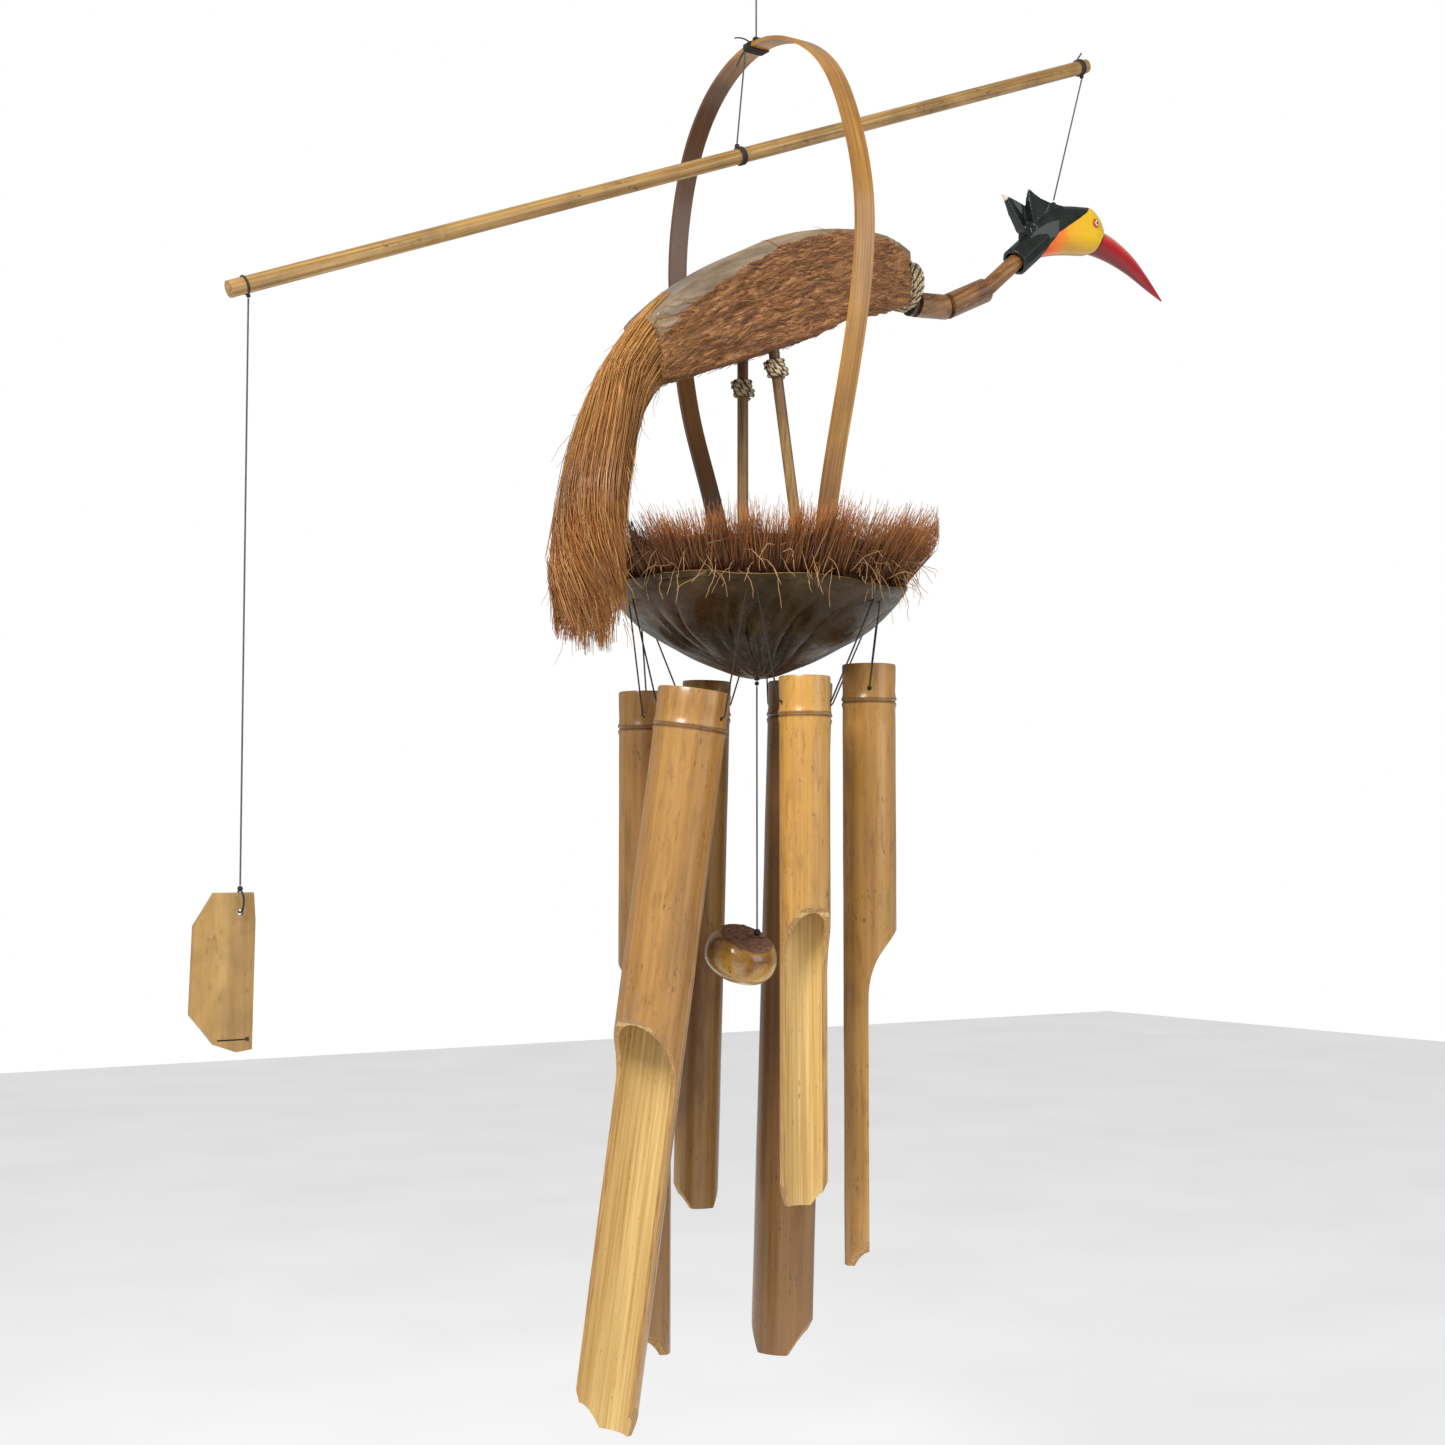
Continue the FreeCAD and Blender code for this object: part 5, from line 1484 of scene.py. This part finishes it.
# %% The clapper
R = 0.0264
profile = [(0.0100, 0.0004), (0.0104, 0.007), (0.0112, 0.0125), (0.0120, 0.0165), (0.0112, 0.0202),
           (0.0082, 0.0236), (0.0042, 0.0257), (-0.0004, R), (-0.0048, 0.0255), (-0.0084, 0.0230),
           (-0.0112, 0.0190), (-0.0132, 0.0135), (-0.0143, 0.0070), (-0.0146, 0.0004)]
bun = lathe_down("clapper_bun", [(curve_along([p[0] for p in profile], k / 42),
                                  max(curve_along([p[1] for p in profile], k / 42), 0.0004)) for k in range(43)], 128)
for level_z in (profile[0][0], profile[-1][0]):
    select_where(bun, lambda vert: abs(vert.co.z - level_z) < 1e-6 and Vector((vert.co.x, vert.co.y)).length < 0.0006,
                 "VERT")
    bpy.ops.mesh.edge_face_add()
    object_mode()
normals = [vertex.normal.copy() for vertex in bun.data.vertices]
for vertex, n in zip(bun.data.vertices, normals):
    p = vertex.co.copy()
    reach = math.hypot(p.x, p.y)
    if p.z > 0 and reach < 0.0185:
        rough = noise.noise(Vector((p.x * 90, p.y * 420, 3))) + 0.5 * noise.noise(Vector((p.x * 300, p.y * 900, 8)))
        crack = math.exp(-((p.y - 0.004 - 0.0015 * math.sin(p.x * 300)) / 0.0008) ** 2)
        crack *= 1 if -0.004 < p.x < 0.015 else 0
        vertex.co = p + Vector((0, 0, 1)) * (rough * 0.0011 - crack * 0.0035)
    else:
        vertex.co = p + n * (0.0005 * noise.noise(p * 60))
face_outwards(bun)


def bun_material():
    material, tree, space, shader = start_material("clapper_gold")
    cloud = wire(tree, "TexNoise", {"Vector": space, "Scale": 46.0, "Detail": 4.0, "Roughness": 0.5, "Distortion": 0.2})
    fine = wire(tree, "TexNoise", {"Vector": space, "Scale": 520.0, "Detail": 3.0})
    base = ramp(tree, cloud.outputs["Fac"], [(0.32, (0.150, 0.062, 0.012)), (0.46, (0.38, 0.190, 0.034)),
                                            (0.60, (0.58, 0.330, 0.060)), (0.76, (0.76, 0.500, 0.130))])
    spots = blend_colours(tree, level(tree, fine.outputs["Fac"], 0.60, 0.70, 0.0, 0.7), base, (0.10, 0.045, 0.012))
    tree.links.new(spots, shader.inputs["Base Color"])
    tree.links.new(level(tree, fine.outputs["Fac"], 0.3, 0.7, 0.16, 0.30), shader.inputs["Roughness"])
    shader.inputs["Coat Weight"].default_value = 0.7
    shader.inputs["Coat Roughness"].default_value = 0.08
    bump(tree, shader, fine.outputs["Fac"], 0.2, 0.0005)
    return material


def bun_top_material():
    material, tree, space, shader = start_material("clapper_fibre")
    drawn = wire(tree, "VectorMath", {0: space, 1: (0.25, 1, 1)}, operation="MULTIPLY").outputs[0]
    lines = wire(tree, "TexNoise", {"Vector": drawn, "Scale": 900.0, "Detail": 5.0, "Roughness": 0.7,
                                    "Distortion": 0.5})
    tree.links.new(ramp(tree, lines.outputs["Fac"], [(0.32, (0.070, 0.026, 0.012)), (0.52, (0.22, 0.105, 0.055)),
                                                    (0.72, (0.42, 0.25, 0.150))]), shader.inputs["Base Color"])
    tree.links.new(level(tree, lines.outputs["Fac"], 0.3, 0.7, 0.7, 0.9), shader.inputs["Roughness"])
    bump(tree, shader, lines.outputs["Fac"], 0.9, 0.0010)
    return material


bun.data.materials.append(bun_material())
bun.data.materials.append(bun_top_material())
for face in bun.data.polygons:
    c = face.center
    if c.z > 0.004 and math.hypot(c.x, c.y) < 0.0192 + 0.0012 * noise.noise(Vector((c.x * 160, c.y * 160, 0))):
        face.material_index = 1
bun.data.shade_smooth()
tilt = Matrix.Rotation(math.radians(19), 4, view_ahead) @ Matrix.Rotation(math.radians(24), 4, view_right)
bun.data.transform(Matrix.Translation(Vector((-0.0095, 0.0062, -0.7115))) @ tilt @ Matrix.Diagonal((1, 1, 1.18, 1)))
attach(bun, "clapper_hang")
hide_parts("clapper")
print("clapper faces", len(bun.data.polygons))

# %% [markdown]
# Thread is wound round the top of the hoop. The winding is a real coil along the hoop, with a
# small upright knot over it, and both have loose ends. The other knots stay as the model has
# them.

# %% Thread windings
def wound(name, body_name, node, centre, axis, half_wide, half_high, turns, pitch, thick, tails, square=0.5):
    """A coil of thread round a bar, ends left loose."""
    axis = Vector(axis).normalized()
    up = Vector((0, 0, 1)) - axis * axis.z
    up.normalize()
    side = axis.cross(up)
    lay = Strands()
    path = []
    for k in range(int(turns * 32) + 1):
        turn = 2 * math.pi * k / 32
        c, s = math.cos(turn), math.sin(turn)
        c, s = math.copysign(abs(c) ** square, c), math.copysign(abs(s) ** square, s)
        slip = 0.25 * pitch * math.sin(turn * 1.7 + k * 0.05)
        path.append(Vector(centre) + side * c * half_wide + up * s * half_high
                    + axis * (pitch * (k / 32 - turns / 2) + slip))
    lay.add(path, thick, 1, sides=6, taper=1.0)
    for k, (start, way, length) in enumerate(tails):
        here, path = Vector(start), []
        direction = Vector(way).normalized()
        for step in range(7):
            path.append(here.copy())
            direction = (direction + Vector((0.05 * math.sin(step * 2 + k), 0.05, -0.10))).normalized()
            here = here + direction * (length / 6)
        lay.add(path, thick, 3 + k, sides=6, taper=0.8)
    piece = lay.finish(name, finish["thread"])
    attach(piece, body_name)
    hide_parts(node)


wound("hoop_winding", "frame", "hoop_lashing", (0, 0, -0.053), (0, 1, 0), 0.0084, 0.0024, 8, 0.0011, 0.00065,
      [((-0.0080, -0.0035, -0.0515), (-1, -0.4, 0.3), 0.016), ((-0.0080, 0.0030, -0.0555), (-0.6, 0.3, -1), 0.013)],
      square=0.35)
wound("hoop_knot", "frame", "hoop_lashing", (0, 0, -0.0484), (0.25, 0.1, 1), 0.0023, 0.0023, 4, 0.0016, 0.0008,
      [((0.002, 0, -0.047), (0.8, -0.5, 0.8), 0.010)], square=1.0)

# %% [markdown]
# The sail is a slat of bamboo skin. It keeps the model's outline and curve. A short slit near
# its foot would show daylight, so a thin dark strip lies in it: painted shade that keeps the slit dark.

# %% The slit in the sail
SLIT_PLACE = (-0.3861, 0.0, -0.7525)
SLIT_SIZE = (0.0215, 0.0012, 0.0022)
bpy.ops.mesh.primitive_cube_add(size=1, location=SLIT_PLACE)
slit_shade_strip = bpy.context.object
slit_shade_strip.name = "sail_slit_shade_strip"
bpy.ops.object.mode_set(mode="EDIT")
bpy.ops.mesh.select_all(action="SELECT")
bpy.ops.transform.resize(value=SLIT_SIZE, center_override=SLIT_PLACE)
bpy.ops.mesh.subdivide(number_cuts=6)
object_mode()
bpy.ops.object.transform_apply(location=True)
# painted shade: the strip wears the near-black collar finish to keep the slit dark
slit_shade_strip.data.materials.append(finish["collar"])
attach(slit_shade_strip, "wind_sail")

# %% [markdown]
# A plain pale floor below the chime and a soft sky all round stand in for a studio. The floor
# glows a little, so it stays pale at a low angle. The sky is bright where the camera sees it
# and weaker as a light, so the lamps still shape the pieces.

# %% Floor and sky
FLOOR_DROP, FLOOR_SIDE = 0.35, 12
bpy.ops.mesh.primitive_plane_add(size=FLOOR_SIDE, location=(0, 0, cad_low.z - FLOOR_DROP))
floor = bpy.context.object
floor.name = "studio_floor"
bpy.ops.object.transform_apply(location=True)
floor_paint, tree, space, shader = start_material("studio_floor")
speckle = wire(tree, "TexNoise", {"Vector": space, "Scale": 3.0, "Detail": 2.0})
tree.links.new(ramp(tree, speckle.outputs["Fac"], [(0.3, (0.80, 0.80, 0.80)), (0.7, (0.86, 0.86, 0.86))]),
               shader.inputs["Base Color"])
shader.inputs["Roughness"].default_value = 0.9
tree.links.new(ramp(tree, speckle.outputs["Fac"], [(0.3, (0.97, 0.97, 0.97)), (0.7, (1.0, 1.0, 1.0))]),
               shader.inputs["Emission Color"])
shader.inputs["Emission Strength"].default_value = 0.42
floor.data.materials.append(floor_paint)

SKY_LIGHT, SKY_SEEN = 0.34, 1.0
world = bpy.data.worlds.new("soft_sky")
bpy.context.scene.world = world
world.use_nodes = True
sky = world.node_tree.nodes["Background"]
sky.inputs["Color"].default_value = (1, 1, 1, 1)
seen = wire(world.node_tree, "LightPath").outputs["Is Camera Ray"]
world.node_tree.links.new(level(world.node_tree, seen, 0.0, 1.0, SKY_LIGHT, SKY_SEEN), sky.inputs["Strength"])

# %% [markdown]
# A large key light from the upper left front picks out the varnish. A wider, weaker one fills
# the far side.

# %% Lamps
def area_light(name, place, aim, size, power):
    data = bpy.data.lights.new(name, "AREA")
    data.size = size
    data.energy = power
    lamp = bpy.data.objects.new(name, data)
    bpy.context.collection.objects.link(lamp)
    lamp.location = place
    lamp.rotation_euler = (Vector(aim) - Vector(place)).to_track_quat("-Z", "Y").to_euler()


centre = (0, 0, -0.5)
area_light("key", view_ahead * -1.5 + view_right * -0.8 + Vector((0, 0, 0.9)), centre, 0.8, 50)
area_light("fill", view_ahead * -1.2 + view_right * 1.8 + Vector((0, 0, 0.1)), centre, 1.4, 13)
bpy.context.scene.view_settings.view_transform = "Standard"
